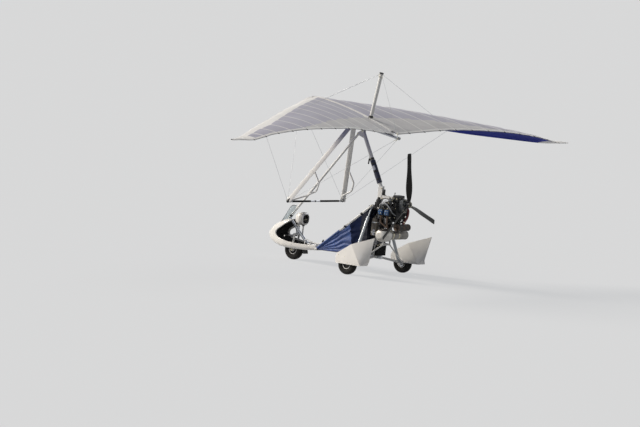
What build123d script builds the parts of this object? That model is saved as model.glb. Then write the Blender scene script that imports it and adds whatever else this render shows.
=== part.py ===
"""Two-seat ultralight aircraft of the weight-shift kind: a flexible wing that hangs on a
three-wheeled trike with a pusher engine.

Frame: +X forward, +Y to port, +Z up, millimetres. The wheels stand on Z = 0 and the origin is
on the floor below the middle of the aircraft. Places along X are given from the rear axle.
"""
import os
from math import cos, radians, sin, sqrt, tan

from build123d import *

os.makedirs("parts", exist_ok=True)

# Stance
axle_x = -786.0
wheel_r = 172.0
wheelbase = 1720.0
half_track = 830.0

# Wheels
tyre_w = 112.0
rim_r = 78.0
rim_w = 84.0
hub_r = 30.0
pin_r = 12.0
pin_clearance = 0.5
seat_gap = 0.3

# Frame of the trike
keel_z = 292.0
keel_h = 60.0
keel_w = 50.0
keel_rear = -110.0
keel_bend = 1440.0
pylon_x = 45.0
pylon_w = 60.0
pylon_d = 50.0
pylon_top = 1500.0
pylon_head_w = 90.0
pylon_head_h = 260.0
mast_r = 32.0
pad_r = 48.0
pad_low = 1545.0
pad_high = 1915.0
strut_r = 20.0
strut_foot = (1884.0, 0.0, 709.0)
strut_head = (630.0, 0.0, 2330.0)
brace_r = 15.0
brace_y = 250.0
brace_top = (30.0, 1170.0)
brace_foot = (1100.0, 268.0)

# Hang point
hang_x = 540.0
hang_z = 2380.0
cheek_gap = 50.0
cheek_t = 8.0
block_clearance = 3.0
roll_rise = 38.0
keel_rise = 46.0
lug_gap = 5.0
lug_t = 12.0
bolt_r = 8.0

# Wing
nose = (1917.0, 0.0, 2681.0)
tail = (-192.0, 0.0, 2350.0)
wing_keel_r = 25.0
pocket_half = 40.0
bar_x = 1380.0
bar_z = 1060.0
bar_half = 820.0
bar_r = 14.0
corner_r = 36.0
apex_x = 777.0
downtube_r = 33.0
kingpost_x = 447.0
kingpost_h = 960.0
kingpost_r = 31.0
wire_r = 2.0
junction_y = 2800.0

# Engine
crank_z = 1090.0
prop_x = -555.0
prop_z = 1257.0
prop_r = 890.0


def at(x, y, z):
    """A point given from the rear axle."""
    return (x + axle_x, y, z)


def between(start, end, share):
    """The point that lies this share of the way from start to end."""
    return tuple(a + (b - a) * share for a, b in zip(start, end))


def tube(start, end, radius, inner=0.0, mode=Mode.ADD):
    """A round tube or rod from start to end, in the piece being built."""
    axis = Vector(*end) - Vector(*start)
    with BuildSketch(Plane(origin=start, z_dir=axis)) as section:
        Circle(radius)
        if inner > 0:
            Circle(inner, mode=Mode.SUBTRACT)
    extrude(section.sketch, amount=axis.length, mode=mode)


def box(low, high, mode=Mode.ADD):
    """A block between two opposite corners, in the piece being built."""
    size = [b - a for a, b in zip(low, high)]
    middle = tuple((a + b) / 2 for a, b in zip(low, high))
    with Locations(middle):
        Box(*size, mode=mode)


def side_face(y, side):
    """An upright plane at this y that faces out to the given side."""
    return Plane(origin=(0, y, 0), x_dir=(1, 0, 0), z_dir=(0, side, 0))


def finish(piece, name):
    piece.part.label = name
    export_step(piece.part, f"parts/{name}.step")


# Keel beam of the trike, which rises over the front wheel to the foot of the front strut
keel_top = keel_z + keel_h / 2
rise_start = (keel_bend, 0.0, keel_z)
head_share = 0.55
head_point = between(at(*rise_start), at(*strut_foot), head_share)
caster = 8.0
steer_axis = Vector(-sin(radians(caster)), 0, cos(radians(caster)))
head_r = 26.0
head_half = 62.0
stem_r = 15.0

with BuildPart() as keel_tube:
    with BuildSketch(Plane.YZ.offset(axle_x + keel_rear)) as beam_section:
        with Locations((0, keel_z)):
            RectangleRounded(keel_w, keel_h, 8)
    extrude(amount=keel_bend - keel_rear)
    tube(at(keel_bend - 10, 0, keel_z), at(*strut_foot), keel_w / 2)
    with Locations(head_point):
        Sphere(head_r + 8)
    low = Vector(*head_point) - steer_axis * head_half
    high = Vector(*head_point) + steer_axis * head_half
    tube(low, high, head_r)
    tube(low, high, stem_r + pin_clearance, mode=Mode.SUBTRACT)
finish(keel_tube, "keel_tube")

# Pylon behind the rear seat, with the cross tube that the seat braces and gear struts meet
with BuildPart() as pylon:
    box(
        at(pylon_x - pylon_w / 2, -pylon_d / 2, keel_top),
        at(pylon_x + pylon_w / 2, pylon_d / 2, pylon_top),
    )
    box(
        at(pylon_x - pylon_head_w / 2, -pylon_w / 2, pylon_top - pylon_head_h),
        at(pylon_x + pylon_head_w / 2, pylon_w / 2, pylon_top),
    )
    fillet(pylon.edges().filter_by(Axis.Z), 8)
    tube(
        at(brace_top[0], -brace_y + brace_r + 6, brace_top[1]),
        at(brace_top[0], brace_y - brace_r - 6, brace_top[1]),
        brace_r,
    )
finish(pylon, "pylon")

# Mast, with the cheeks of the hang point at its head
hang = at(hang_x, 0, hang_z)
mast_slope = tan(radians(28.4))
mast_foot = at(hang_x - (hang_z - pylon_top) * mast_slope, 0, pylon_top)
mast_axis = (Vector(*hang) - Vector(*mast_foot)).normalized()
head_clear = 30.0
mast_end = Vector(*hang) - mast_axis * head_clear

with BuildPart() as mast:
    tube(Vector(*mast_foot) - mast_axis * 60, mast_end, mast_r)
    box(
        at(-300, -100, pylon_top - 120),
        at(300, 100, pylon_top),
        mode=Mode.SUBTRACT,
    )
    for side in (-1, 1):
        inner = side * cheek_gap / 2
        with BuildSketch(side_face(inner, side)) as cheek:
            flip = -1 if side > 0 else 1
            with BuildLine():
                Polyline(
                    (hang[0] - 24, flip * (hang[2] + 8)),
                    (hang[0] + 24, flip * (hang[2] + 14)),
                    (strut_head[0] + axle_x + 24, flip * (strut_head[2] + 4)),
                    (strut_head[0] + axle_x - 6, flip * (strut_head[2] - 22)),
                    (mast_end.X - 40, flip * (mast_end.Z - 90)),
                    close=True,
                )
            make_face()
            with Locations((hang[0], flip * hang[2])):
                Circle(25)
            with Locations((hang[0], flip * hang[2])):
                Circle(bolt_r + pin_clearance, mode=Mode.SUBTRACT)
        extrude(amount=cheek_t)
finish(mast, "mast")


def on_mast(z):
    """The point of the mast's centre line at this height."""
    return (hang[0] - (hang[2] - z) * mast_slope, 0.0, z)


# Padding round the mast behind the rear seat's head
with BuildPart() as mast_pad:
    tube(on_mast(pad_low), on_mast(pad_high), pad_r, mast_r + seat_gap)
finish(mast_pad, "mast_pad")

# Front strut, from the nose to the head of the mast
with BuildPart() as front_strut:
    strut_line = Vector(*at(*strut_head)) - Vector(*at(*strut_foot))
    foot_end = Vector(*at(*strut_foot)) + strut_line.normalized() * (keel_w / 2 + 5)
    tube(foot_end, at(*strut_head), strut_r)
    tube(Vector(*at(*strut_foot)) + strut_line.normalized() * 6, foot_end, strut_r * 0.7)
    tube(
        at(strut_head[0], -cheek_gap / 2, strut_head[2]),
        at(strut_head[0], cheek_gap / 2, strut_head[2]),
        16,
    )
    add(keel_tube.part, mode=Mode.SUBTRACT)
finish(front_strut, "front_strut")

# Nose pod: a moulded tub with large openings at both sides
pod_half = 272.0
pod_nose = 2242.0
pod_rear = 1100.0
pod_taper = 1628.0
pod_skin = 8.0
pod_flange = 20.0


pod_sections = (
    # x, half width, lowest and highest z, corner radius
    (pod_rear, 248, 245, 712, 60),
    (1350, 260, 219, 712, 66),
    (pod_taper, pod_half, 207, 712, 72),
    (1800, 262, 209, 700, 84),
    (1930, 236, 217, 645, 98),
    (2060, 198, 245, 588, 110),
    (2150, 158, 280, 518, 100),
    (2215, 92, 325, 462, 60),
    (pod_nose, 26, 368, 405, 15),
)


def pod_form(side_inset, skin_inset):
    """The pod's closed form, lofted through its sections, drawn in by these two insets."""
    rings = []
    for x, half, low, high, corner in pod_sections:
        shift = skin_inset * 2 if x == pod_nose else (skin_inset if x > pod_taper else 0)
        if x == pod_rear:
            shift = min(skin_inset, 1)
        width = 2 * max(half - side_inset, 9)
        height = max(high - low - 2 * skin_inset, 18)
        with BuildSketch(Plane.YZ.offset(x + axle_x - shift)) as ring:
            with Locations((0, (low + high) / 2)):
                RectangleRounded(width, height, min(corner, width / 2 - 1, height / 2 - 1))
        rings.append(ring.sketch)
    return loft(rings, ruled=True, mode=Mode.PRIVATE)


wheel_slot_half = 135.0
wheel_slot_reach = 45.0
with BuildPart() as pod:
    add(pod_form(0, 0))
    add(pod_form(pod_flange, pod_skin), mode=Mode.SUBTRACT)
    with BuildSketch(Plane.XZ) as opening:
        with BuildLine():
            Polyline(
                (pod_rear + axle_x - 1, 330),
                (1300 + axle_x, 307),
                (1500 + axle_x, 303),
            )
            ThreePointArc(
                (1500 + axle_x, 303), (1790 + axle_x, 325), (1930 + axle_x, 360)
            )
            ThreePointArc(
                (1930 + axle_x, 360), (2002 + axle_x, 425), (1968 + axle_x, 503)
            )
            Polyline(
                (1968 + axle_x, 503),
                (1626 + axle_x, 735),
                (pod_rear + axle_x - 1, 735),
                (pod_rear + axle_x - 1, 330),
            )
        make_face()
    extrude(amount=400, both=True, mode=Mode.SUBTRACT)
    box(
        at(wheelbase - wheel_r - wheel_slot_reach, -wheel_slot_half, 150),
        at(wheelbase + wheel_r + wheel_slot_reach, wheel_slot_half, 300),
        mode=Mode.SUBTRACT,
    )
    box(at(1600, -160, 600), at(1815, 160, 720), mode=Mode.SUBTRACT)
    rise_end = between(at(*rise_start), at(*strut_foot), 1.1)
    tube(head_point, rise_end, keel_w / 2 + 5, mode=Mode.SUBTRACT)
    box(at(1250, -keel_w / 2, 232), at(1310, keel_w / 2, keel_z - keel_h / 2))
finish(pod, "pod")

# Small windscreen on the pod's top
screen_foot = (2008.0, 0.0, 616.0)
screen_top = (1825.0, 0.0, 933.0)
screen_half = 130.0
screen_sweep = 36.0
screen_t = 5.0
with BuildPart() as windscreen:
    lean = (Vector(*at(*screen_top)) - Vector(*at(*screen_foot))).normalized()
    start = Vector(*at(*screen_foot)) - lean * 60
    with BuildSketch(Plane(origin=start, x_dir=(0, 1, 0), z_dir=lean)) as arc_section:
        with BuildLine():
            ThreePointArc((-screen_half, screen_sweep), (0, 0), (screen_half, screen_sweep))
            offset(amount=screen_t / 2)
        make_face()
    extrude(amount=(Vector(*at(*screen_top)) - start).length)
    add(pod_form(0, 0), mode=Mode.SUBTRACT)
finish(windscreen, "windscreen")

# Instrument binnacle on a post above the keel beam
binnacle_low = (1530.0, -110.0, 615.0)
binnacle_high = (1730.0, 110.0, 835.0)
post_x = 1580.0
post_foot_z = keel_z + (post_x - keel_bend) / (strut_foot[0] - keel_bend) * (strut_foot[2] - keel_z)
with BuildPart() as binnacle:
    box(at(*binnacle_low), at(*binnacle_high))
    fillet(binnacle.edges().filter_by(Axis.Y), 60)
    fillet(binnacle.faces().sort_by(Axis.Y)[0].edges(), 18)
    fillet(binnacle.faces().sort_by(Axis.Y)[-1].edges(), 18)
    tube(at(post_x, 0, post_foot_z), at(post_x, 0, binnacle_low[2] + 25), 14)
    add(keel_tube.part, mode=Mode.SUBTRACT)
finish(binnacle, "binnacle")

# Tandem seats, with the fuel tank below the rear one
seat_half = 175.0


def seat(name, base_x, base_z, length, thickness, back_rise, back_lean, back_t):
    """A cushion and its raked back, one soft moulding."""
    with BuildPart() as piece:
        with BuildSketch(Plane.XZ) as side_view:
            with BuildLine():
                Polyline(
                    (base_x + axle_x, base_z),
                    (base_x + length + axle_x, base_z),
                    (base_x + length + axle_x, base_z + thickness),
                    (base_x + back_t + axle_x, base_z + thickness),
                    (base_x + back_t - back_lean + axle_x, base_z + back_rise),
                    (base_x - back_lean + axle_x, base_z + back_rise),
                    close=True,
                )
            make_face()
        extrude(amount=seat_half, both=True)
        fillet(piece.edges().filter_by(Axis.Y), 16)
        fillet(piece.faces().sort_by(Axis.Y)[0].edges(), 12)
        fillet(piece.faces().sort_by(Axis.Y)[-1].edges(), 12)
    finish(piece, name)
    return piece


tank_top = 610.0
seat_front = seat("seat_front", 640, keel_top + seat_gap, 420, 75, 360, 70, 70)
seat_rear = seat("seat_rear", 175, tank_top + seat_gap, 360, 75, 560, 80, 70)

with BuildPart() as fuel_tank:
    box(at(100, -165, keel_top + seat_gap), at(520, 165, tank_top))
    fillet(fuel_tank.edges(), 24)
finish(fuel_tank, "fuel_tank")

# Side braces, the cloth panels below them, and the gear legs, one of each to a side
carrier_in = 715.0
carrier_out = 757.0
axle_root = (0.0, keel_w / 2, 315.0)
strut_root = (60.0, 205.0, 1140.0)
stay_root = (-180.0, 100.0, 520.0)
panel_t = 8.0

sides = (1, -1)

with BuildPart() as seat_braces:
    for side in sides:
        high = at(brace_top[0], side * brace_y, brace_top[1])
        low = at(brace_foot[0], side * brace_y, brace_foot[1])
        tube(high, low, brace_r)
        tube(at(brace_top[0], side * (brace_y - brace_r - 6), brace_top[1]), high, brace_r + 3)
        tube(at(brace_foot[0], side * (pod_half * 0.9 - 40), brace_foot[1]), low, brace_r)
    add(pod.part, mode=Mode.SUBTRACT)
finish(seat_braces, "seat_braces")

panel_head = between(brace_top, brace_foot, 0.06)
panel_toe = between(brace_foot, brace_top, 0.03)
panel_front = (panel_toe[0], brace_foot[1])
panel_rear = (45.0, 300.0)

with BuildPart() as side_panels:
    for side in sides:
        panel_face = side_face(side * (brace_y - panel_t / 2), side)
        with BuildSketch(panel_face) as cloth:
            with BuildLine() as outline:
                corner_points = (panel_front, panel_rear, panel_head, panel_toe)
                Polyline(*[(x + axle_x, -side * z) for x, z in corner_points], close=True)
            make_face(outline.edges())
        extrude(cloth.sketch, amount=panel_t)
        high = at(brace_top[0], side * brace_y, brace_top[1])
        low = at(brace_foot[0], side * brace_y, brace_foot[1])
        tube(high, low, brace_r + seat_gap, mode=Mode.SUBTRACT)
finish(side_panels, "side_panels")

with BuildPart() as axles:
    for side in sides:
        root = sorted((side * keel_w / 2, side * (keel_w / 2 + 32)))
        box(at(-30, root[0], 270), at(30, root[1], 318))
        leg_out = at(0, side * (carrier_in + 20), wheel_r + 10)
        tube(at(0, side * (keel_w / 2 + 20), 296), leg_out, 20)
        carrier = sorted((side * carrier_in, side * carrier_out))
        box(at(-34, carrier[0], wheel_r - 34), at(34, carrier[1], wheel_r + 44))
        box(at(-66, carrier[0], wheel_r - 14), at(-34, carrier[1], wheel_r + 24))
        stub_end = half_track + rim_w / 2 + 8
        tube(at(0, side * (carrier_out - 2), wheel_r), at(0, side * stub_end, wheel_r), pin_r)
finish(axles, "axles")

with BuildPart() as gear_struts:
    for side in sides:
        strut_low = at(0, side * (carrier_in - 18), wheel_r + 30)
        strut_high = at(strut_root[0], side * strut_root[1], strut_root[2])
        tube(strut_low, between(strut_low, strut_high, 0.82), 27)
        tube(between(strut_low, strut_high, 0.8), strut_high, 13)
        with Locations(strut_high):
            Sphere(20)
        foot_out = at(0, side * carrier_in, wheel_r + 30)
        tube(at(0, side * (carrier_in - 40), wheel_r + 30), foot_out, 29)
    add(axles.part, mode=Mode.SUBTRACT)
    add(pylon.part, mode=Mode.SUBTRACT)
finish(gear_struts, "gear_struts")

# Wheel spats: a flat front facet to a slanted crease, and behind it walls that twist in to a
# thin rear edge
spat_wall = 6.0
spat_in = carrier_out
spat_reach = 300.0
front_points = (
    (150, 370), (190, 352), (216, 290), (208, 176), (-357, 192), (-114, 532),
)
front_cavity = (
    (150, 360), (184, 346), (206, 285), (202, 60), (-300, 60), (-350.5, 203.6), (-121.6, 523),
)
nose_foot = (208, 900, 176)
crease_foot = (-357, 985, 192)
crease_top = (-114, 952, 532)
crease_end = (crease_foot, crease_top, (-114, spat_in, 532), (-357, spat_in, 192))
tail_end = ((-431, 844, 273), (-516, 869, 690), (-516, 855, 690), (-431, 830, 273))
crease_cavity = ((-348, 974, 204), (-122, 944, 521), (-122, 763.5, 521), (-348, 763.5, 204))
tail_cavity = ((-419, 856, 270), (-454, 873, 657), (-454, 848, 657), (-419, 827, 270))


def spat_front(points, wall, side):
    """Side outline extruded across the spat and cut to the front facet, drawn in by wall."""
    side_plane = side_face(side * (spat_in + wall), side)
    flip = -1 if side > 0 else 1
    with BuildSketch(side_plane) as side_view:
        with BuildLine():
            Polyline(*[(x + axle_x, flip * z) for x, z in points], close=True)
        make_face()
    block = extrude(side_view.sketch, amount=spat_reach, mode=Mode.PRIVATE)
    one, two, three = [
        Vector(x + axle_x, side * y, z) for x, y, z in (nose_foot, crease_foot, crease_top)
    ]
    normal = (two - one).cross(three - one).normalized()
    if normal.Y * side < 0:
        normal = normal * -1
    cut = Plane(origin=one - normal * wall, z_dir=normal)
    return split(block, bisect_by=cut, keep=Keep.BOTTOM, mode=Mode.PRIVATE)


def spat_rear(first, last, side):
    """The block between two four-cornered ends, ruled from corner to corner."""
    ends = []
    for corner_list in (first, last):
        points = [(x + axle_x, side * y, z) for x, y, z in corner_list]
        ends.append(Wire.make_polygon(points, close=True))
    return Solid.make_loft(ends, ruled=True)


for side, word in ((1, "left"), (-1, "right")):
    with BuildPart() as spat:
        add(spat_front(front_points, 0, side))
        add(spat_rear(crease_end, tail_end, side))
        add(spat_front(front_cavity, spat_wall, side), mode=Mode.SUBTRACT)
        add(spat_rear(crease_cavity, tail_cavity, side), mode=Mode.SUBTRACT)
        hole_in = at(0, side * (spat_in - 10), wheel_r)
        hole_out = at(0, side * (spat_in + 20), wheel_r)
        tube(hole_in, hole_out, pin_r + 8, mode=Mode.SUBTRACT)
    finish(spat, f"spat_{word}")


# Wheels: a tyre on a dished rim, turned about the wheel's own axis
def turned(x, y, profile):
    """A ring turned about the Y axis through (x, y) at the wheels' height."""
    centre = at(x, y, wheel_r)
    with BuildSketch(Plane(origin=centre, x_dir=(1, 0, 0), z_dir=(0, 0, 1))) as section:
        profile()
    revolve(section.sketch, axis=Axis(centre, (0, 1, 0)))


tyre_half = (
    # radius and half width, from the bead to the tread
    (rim_r + seat_gap, 36), (98, 46), (125, tyre_w / 2), (150, 50), (164, 38), (wheel_r, 20),
)


def tyre_profile():
    other_half = [(radius, -width) for radius, width in reversed(tyre_half)]
    with BuildLine() as outline:
        Polyline(*tyre_half, *other_half, close=True)
    make_face(outline.edges())


def rim_profile():
    bore = pin_r + pin_clearance
    half = rim_w / 2
    with BuildLine() as outline:
        Polyline(
            (bore, -half), (hub_r, -half), (hub_r, 6), (46, 14), (68, 14), (68, -half + 4),
            (rim_r, -half + 4), (rim_r, half - 4), (68, half - 4), (68, 22), (44, 22),
            (hub_r, 16), (hub_r, half), (bore, half),
            close=True,
        )
    make_face(outline.edges())


for word, x, y in (("front", wheelbase, 0), ("left", 0, half_track), ("right", 0, -half_track)):
    with BuildPart() as tyre:
        turned(x, y, tyre_profile)
    finish(tyre, f"{word}_tyre")
    with BuildPart() as rim:
        turned(x, y, rim_profile)
    finish(rim, f"{word}_rim")

# Steering fork with its stem and foot bar
crown_drop = head_half + 5
crown_t = 24.0
leg_y = 69.0
leg_t = 14.0
foot_bar = (1822.0, 185.0, 404.0)

with BuildPart() as fork:
    crown_low = Vector(*head_point) - steer_axis * (crown_drop + crown_t)
    with BuildSketch(Plane(origin=crown_low, x_dir=(0, 1, 0), z_dir=steer_axis)):
        RectangleRounded(2 * leg_y + leg_t, 50, 6)
    extrude(amount=crown_t)
    for side in (-1, 1):
        dropout = Vector(*at(wheelbase, side * leg_y, wheel_r))
        leg_top = crown_low + Vector(0, side * leg_y, 0) + steer_axis * 4
        with BuildSketch(Plane(origin=dropout, x_dir=(0, 1, 0), z_dir=leg_top - dropout)) as leg:
            RectangleRounded(leg_t, 36, 4)
        extrude(leg.sketch, amount=(leg_top - dropout).length)
        tube(
            at(wheelbase, side * (leg_y - leg_t / 2), wheel_r),
            at(wheelbase, side * (leg_y + leg_t / 2), wheel_r),
            24,
        )
        arm_start = crown_low + Vector(0, side * 45, 0) + steer_axis * crown_t / 2
        tube(arm_start, at(foot_bar[0], side * 58, foot_bar[2]), 9)
    tube(at(wheelbase, -leg_y, wheel_r), at(wheelbase, leg_y, wheel_r), pin_r)
    tube(at(foot_bar[0], -foot_bar[1], foot_bar[2]), at(foot_bar[0], foot_bar[1], foot_bar[2]), 11)
    stem_top = Vector(*head_point) + steer_axis * (head_half + 10)
    tube(crown_low, stem_top, stem_r)
    collar_low = Vector(*head_point) + steer_axis * (head_half + 5)
    tube(collar_low, collar_low + steer_axis * 12, 23)
finish(fork, "fork")

# Engine: a flat four with finned barrels, its heads and covers
case_low = (-410.0, -130.0, 985.0)
case_high = (-85.0, 130.0, 1195.0)
barrel_xs = (-180.0, -305.0)
barrel_r = 46.0
fin_r = 55.0
fin_t = 4.0
fin_pitch = 12.0
fin_count = 6
barrel_end = 212.0
head_w = 112.0
head_h = 118.0
head_depth = 58.0
cover_depth = 26.0

with BuildPart() as crankcase:
    box(at(*case_low), at(*case_high))
    fillet(crankcase.edges().filter_by(Axis.X), 24)
    chamfer(crankcase.edges().filter_by(Axis.Y), 8)
    for side in (-1, 1):
        for x in barrel_xs:
            tube(at(x, side * 100, crank_z), at(x, side * barrel_end, crank_z), barrel_r)
            for i in range(fin_count):
                fin_y = 136 + i * fin_pitch
                tube(at(x, side * fin_y, crank_z), at(x, side * (fin_y + fin_t), crank_z), fin_r)
finish(crankcase, "crankcase")

with BuildPart() as cylinder_heads:
    for side in (-1, 1):
        for x in barrel_xs:
            with BuildSketch(side_face(side * barrel_end, side)) as outline:
                with Locations((x + axle_x, -side * crank_z)):
                    RectangleRounded(head_w, head_h, 18)
            extrude(outline.sketch, amount=head_depth)
finish(cylinder_heads, "cylinder_heads")

with BuildPart() as valve_covers:
    for side in (-1, 1):
        for x in barrel_xs:
            cover_y = barrel_end + head_depth
            with BuildSketch(side_face(side * cover_y, side)) as outline:
                with Locations((x + axle_x, -side * crank_z)):
                    RectangleRounded(head_w - 16, head_h - 22, 20)
            extrude(outline.sketch, amount=cover_depth, taper=14)
            cap_end = cover_y + cover_depth + 8
            tube(at(x, side * cover_y, crank_z), at(x, side * cap_end, crank_z), 24)
finish(valve_covers, "valve_covers")

gear_rear = -478.0
nose_rear = -506.0
shaft_r = 15.0
with BuildPart() as gearbox:
    box(at(gear_rear, -80, 1100), at(case_low[0], 80, 1338))
    fillet(gearbox.edges().filter_by(Axis.X), 40)
    tube(at(gear_rear, 0, prop_z), at(nose_rear, 0, prop_z), 58)
    tube(at(nose_rear, 0, prop_z), at(nose_rear - 10, 0, prop_z), 38)
    tube(at(nose_rear, 0, prop_z), at(prop_x - 10, 0, prop_z), shaft_r)
finish(gearbox, "gearbox")

air_low = (-392.0, -98.0, 1270.0)
air_high = (-272.0, 98.0, 1388.0)
with BuildPart() as air_box:
    box(at(*air_low), at(*air_high))
    fillet(air_box.edges(), 14)
    for side in (-1, 1):
        stub_x = (air_low[0] + air_high[0]) / 2
        tube(at(stub_x, side * 55, case_high[2]), at(stub_x, side * 55, air_low[2] + 5), 24)
finish(air_box, "air_box")

pipe_y = 243.0
intake_z = 1214.0
head_top = crank_z + head_h / 2
with BuildPart() as intake_pipes:
    for side in (-1, 1):
        route_points = [
            at(barrel_xs[0], side * pipe_y, head_top),
            at(barrel_xs[0], side * pipe_y, intake_z),
            at(barrel_xs[1], side * pipe_y, intake_z),
            at(barrel_xs[1], side * pipe_y, head_top),
        ]
        with BuildLine() as route:
            FilletPolyline(*route_points, radius=30)
        with BuildSketch(Plane(origin=route_points[0], z_dir=(0, 0, 1))) as section:
            Circle(12)
        sweep(section.sketch, path=route.wires()[0])
        tube(at(-250, side * pipe_y, intake_z), at(air_high[0] - 25, side * 85, 1325), 12)
    add(air_box.part, mode=Mode.SUBTRACT)
finish(intake_pipes, "intake_pipes")

# Exhaust: a silencer across the aircraft below the engine, with a domed port end, and the
# after-silencer behind it
silencer_x = -320.0
silencer_z = 705.0
bulb_r = 108.0
bulb_ends = (195.0, 455.0)
barrel_ends = (-340.0, 175.0)
can_r = 76.0
after_x = -430.0
after_z = 850.0
after_r = 58.0
after_ends = (-230.0, 130.0)
link_y = -60.0
with BuildPart() as silencers:
    tube(at(silencer_x, bulb_ends[0], silencer_z), at(silencer_x, bulb_ends[1], silencer_z), bulb_r)
    fillet(silencers.edges().sort_by(Axis.Y)[-1], bulb_r - 40)
    chamfer(silencers.edges().sort_by(Axis.Y)[0], 22)
    tube(at(silencer_x, barrel_ends[0], silencer_z), at(silencer_x, barrel_ends[1], silencer_z), can_r)
    chamfer(silencers.edges().sort_by(Axis.Y)[0], 16)
    neck_start = at(silencer_x, barrel_ends[1] - 5, silencer_z)
    tube(neck_start, at(silencer_x, bulb_ends[0] + 8, silencer_z), can_r - 16)
    tube(at(after_x, after_ends[0], after_z), at(after_x, after_ends[1], after_z), after_r)
    tube(at(silencer_x, link_y, silencer_z + 20), at(after_x, link_y, after_z), 22)
finish(silencers, "silencers")

head_low = crank_z - head_h / 2
with BuildPart() as exhaust_pipes:
    for side in (-1, 1):
        for x in barrel_xs:
            pipe_foot_x = silencer_x + (12 if x == barrel_xs[0] else -8)
            down = [
                at(x, side * pipe_y, head_low),
                at(x, side * pipe_y, 905),
                at(pipe_foot_x, side * pipe_y, 840),
                at(pipe_foot_x, side * pipe_y, 740),
            ]
            with BuildLine() as route:
                FilletPolyline(*down, radius=36)
            with BuildSketch(Plane(origin=down[0], z_dir=(0, 0, -1))) as section:
                Circle(16)
            sweep(section.sketch, path=route.wires()[0])
    add(silencers.part, mode=Mode.SUBTRACT)
finish(exhaust_pipes, "exhaust_pipes")

# Engine bearer: a top beam and a lower frame from the pylon
bearer_r = 14.0
beam_half = 26.0
beam_z = 1325.0
beam_rear = -217.0
brace_bolt_z = (950.0, 1030.0)
with BuildPart() as engine_bearer:
    low_bar = at(*stay_root)
    for side in (-1, 1):
        low_front = at(pylon_x - pylon_w / 2, side * 12, stay_root[2] + 25)
        low_rear = (low_bar[0], side * stay_root[1], stay_root[2])
        tube(low_front, low_rear, bearer_r)
        tube(low_rear, (low_bar[0], side * stay_root[1], case_low[2]), bearer_r)
        with Locations(low_rear):
            Sphere(bearer_r + 4)
    tube((low_bar[0], -low_bar[1], low_bar[2]), low_bar, bearer_r - 2)
    box(
        at(beam_rear, -beam_half, beam_z - beam_half),
        at(pylon_x, beam_half, beam_z + beam_half),
    )
    tube(at(beam_rear + 27, 0, beam_z), at(beam_rear + 27, 0, case_high[2]), bearer_r)
    tube(at(10, 0, brace_bolt_z[0]), at(case_high[0] - 10, 0, brace_bolt_z[1]), bearer_r)
    add(pylon.part, mode=Mode.SUBTRACT)
    add(crankcase.part, mode=Mode.SUBTRACT)
finish(engine_bearer, "engine_bearer")

tank_spot = (-50.0, 205.0)
tank_r = 62.0
tank_low = 660.0
tank_high = 960.0
with BuildPart() as oil_tank:
    tube(at(*tank_spot, tank_low), at(*tank_spot, tank_high), tank_r)
    chamfer(oil_tank.edges(), 14)
    tube(at(*tank_spot, tank_high - 5), at(*tank_spot, tank_high + 25), 24)
    shelf_z = (tank_low + tank_high) / 2
    box(
        at(tank_spot[0] + 30, pylon_d / 2 + seat_gap, shelf_z - 15),
        at(tank_spot[0] + 70, tank_spot[1] - 45, shelf_z + 25),
    )
finish(oil_tank, "oil_tank")

radiator_low = (-100.0, -125.0, keel_top + seat_gap)
radiator_high = (-45.0, 125.0, 490.0)
with BuildPart() as radiator:
    box(at(*radiator_low), at(*radiator_high))
    for i in range(12):
        slot_z = radiator_low[2] + 12 + i * 12.5
        for face_x in (radiator_low[0], radiator_high[0] - 4):
            box(at(face_x, -108, slot_z), at(face_x + 4, 108, slot_z + 6), mode=Mode.SUBTRACT)
finish(radiator, "radiator")

# Drag stays from the bearer to the wheels' carriers
with BuildPart() as drag_stays:
    for side in sides:
        high = at(stay_root[0], side * (stay_root[1] + 10), stay_root[2] - 4)
        tube(high, at(-50, side * (carrier_in + 21), wheel_r + 5), 12)
    add(engine_bearer.part, mode=Mode.SUBTRACT)
    add(axles.part, mode=Mode.SUBTRACT)
finish(drag_stays, "drag_stays")

# Propeller: a hub and three blades whose chord and twist change along the span
hub_front = -521.0
hub_rear = -593.0
hub_radius = 52.0
with BuildPart() as prop_hub:
    tube(at(hub_rear, 0, prop_z), at(hub_front, 0, prop_z), hub_radius)
    chamfer(prop_hub.edges(), 5)
    bore_end = at(prop_x - 15, 0, prop_z)
    tube(at(hub_front + 1, 0, prop_z), bore_end, shaft_r + pin_clearance, mode=Mode.SUBTRACT)
finish(prop_hub, "prop_hub")

blade_table = (
    # share of the radius, chord, thickness, pitch in degrees
    (0.05, 46, 30, 66),
    (0.12, 72, 26, 54),
    (0.25, 106, 20, 42),
    (0.60, 94, 12, 24),
    (0.93, 88, 7, 16),
    (1.00, 80, 4, 14),
)
first_blade = 10.0


def blade_section(share, chord, thickness, pitch):
    """Lens section of a blade that stands along +Z at the hub's centre."""
    level = Plane(origin=(0, 0, share * prop_r), x_dir=(0, 1, 0), z_dir=(0, 0, 1))
    with BuildSketch(level.rotated((0, 0, -pitch))) as section:
        with BuildLine() as outline:
            ThreePointArc((-chord / 2, 0), (chord * 0.1, -thickness * 0.8), (chord / 2, 0))
            ThreePointArc((chord / 2, 0), (0, thickness * 0.3), (-chord / 2, 0))
        make_face(outline.edges())
    return section.sketch


with BuildPart() as prop_blades:
    sections = [blade_section(*row) for row in blade_table]
    one_blade = loft(sections, mode=Mode.PRIVATE)
    for turn in (0, 120, 240):
        placed = one_blade.rotate(Axis.X, -(first_blade + turn))
        add(placed.moved(Location(at(prop_x, 0, prop_z))))
    add(prop_hub.part, mode=Mode.SUBTRACT)
finish(prop_blades, "prop_blades")

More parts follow.
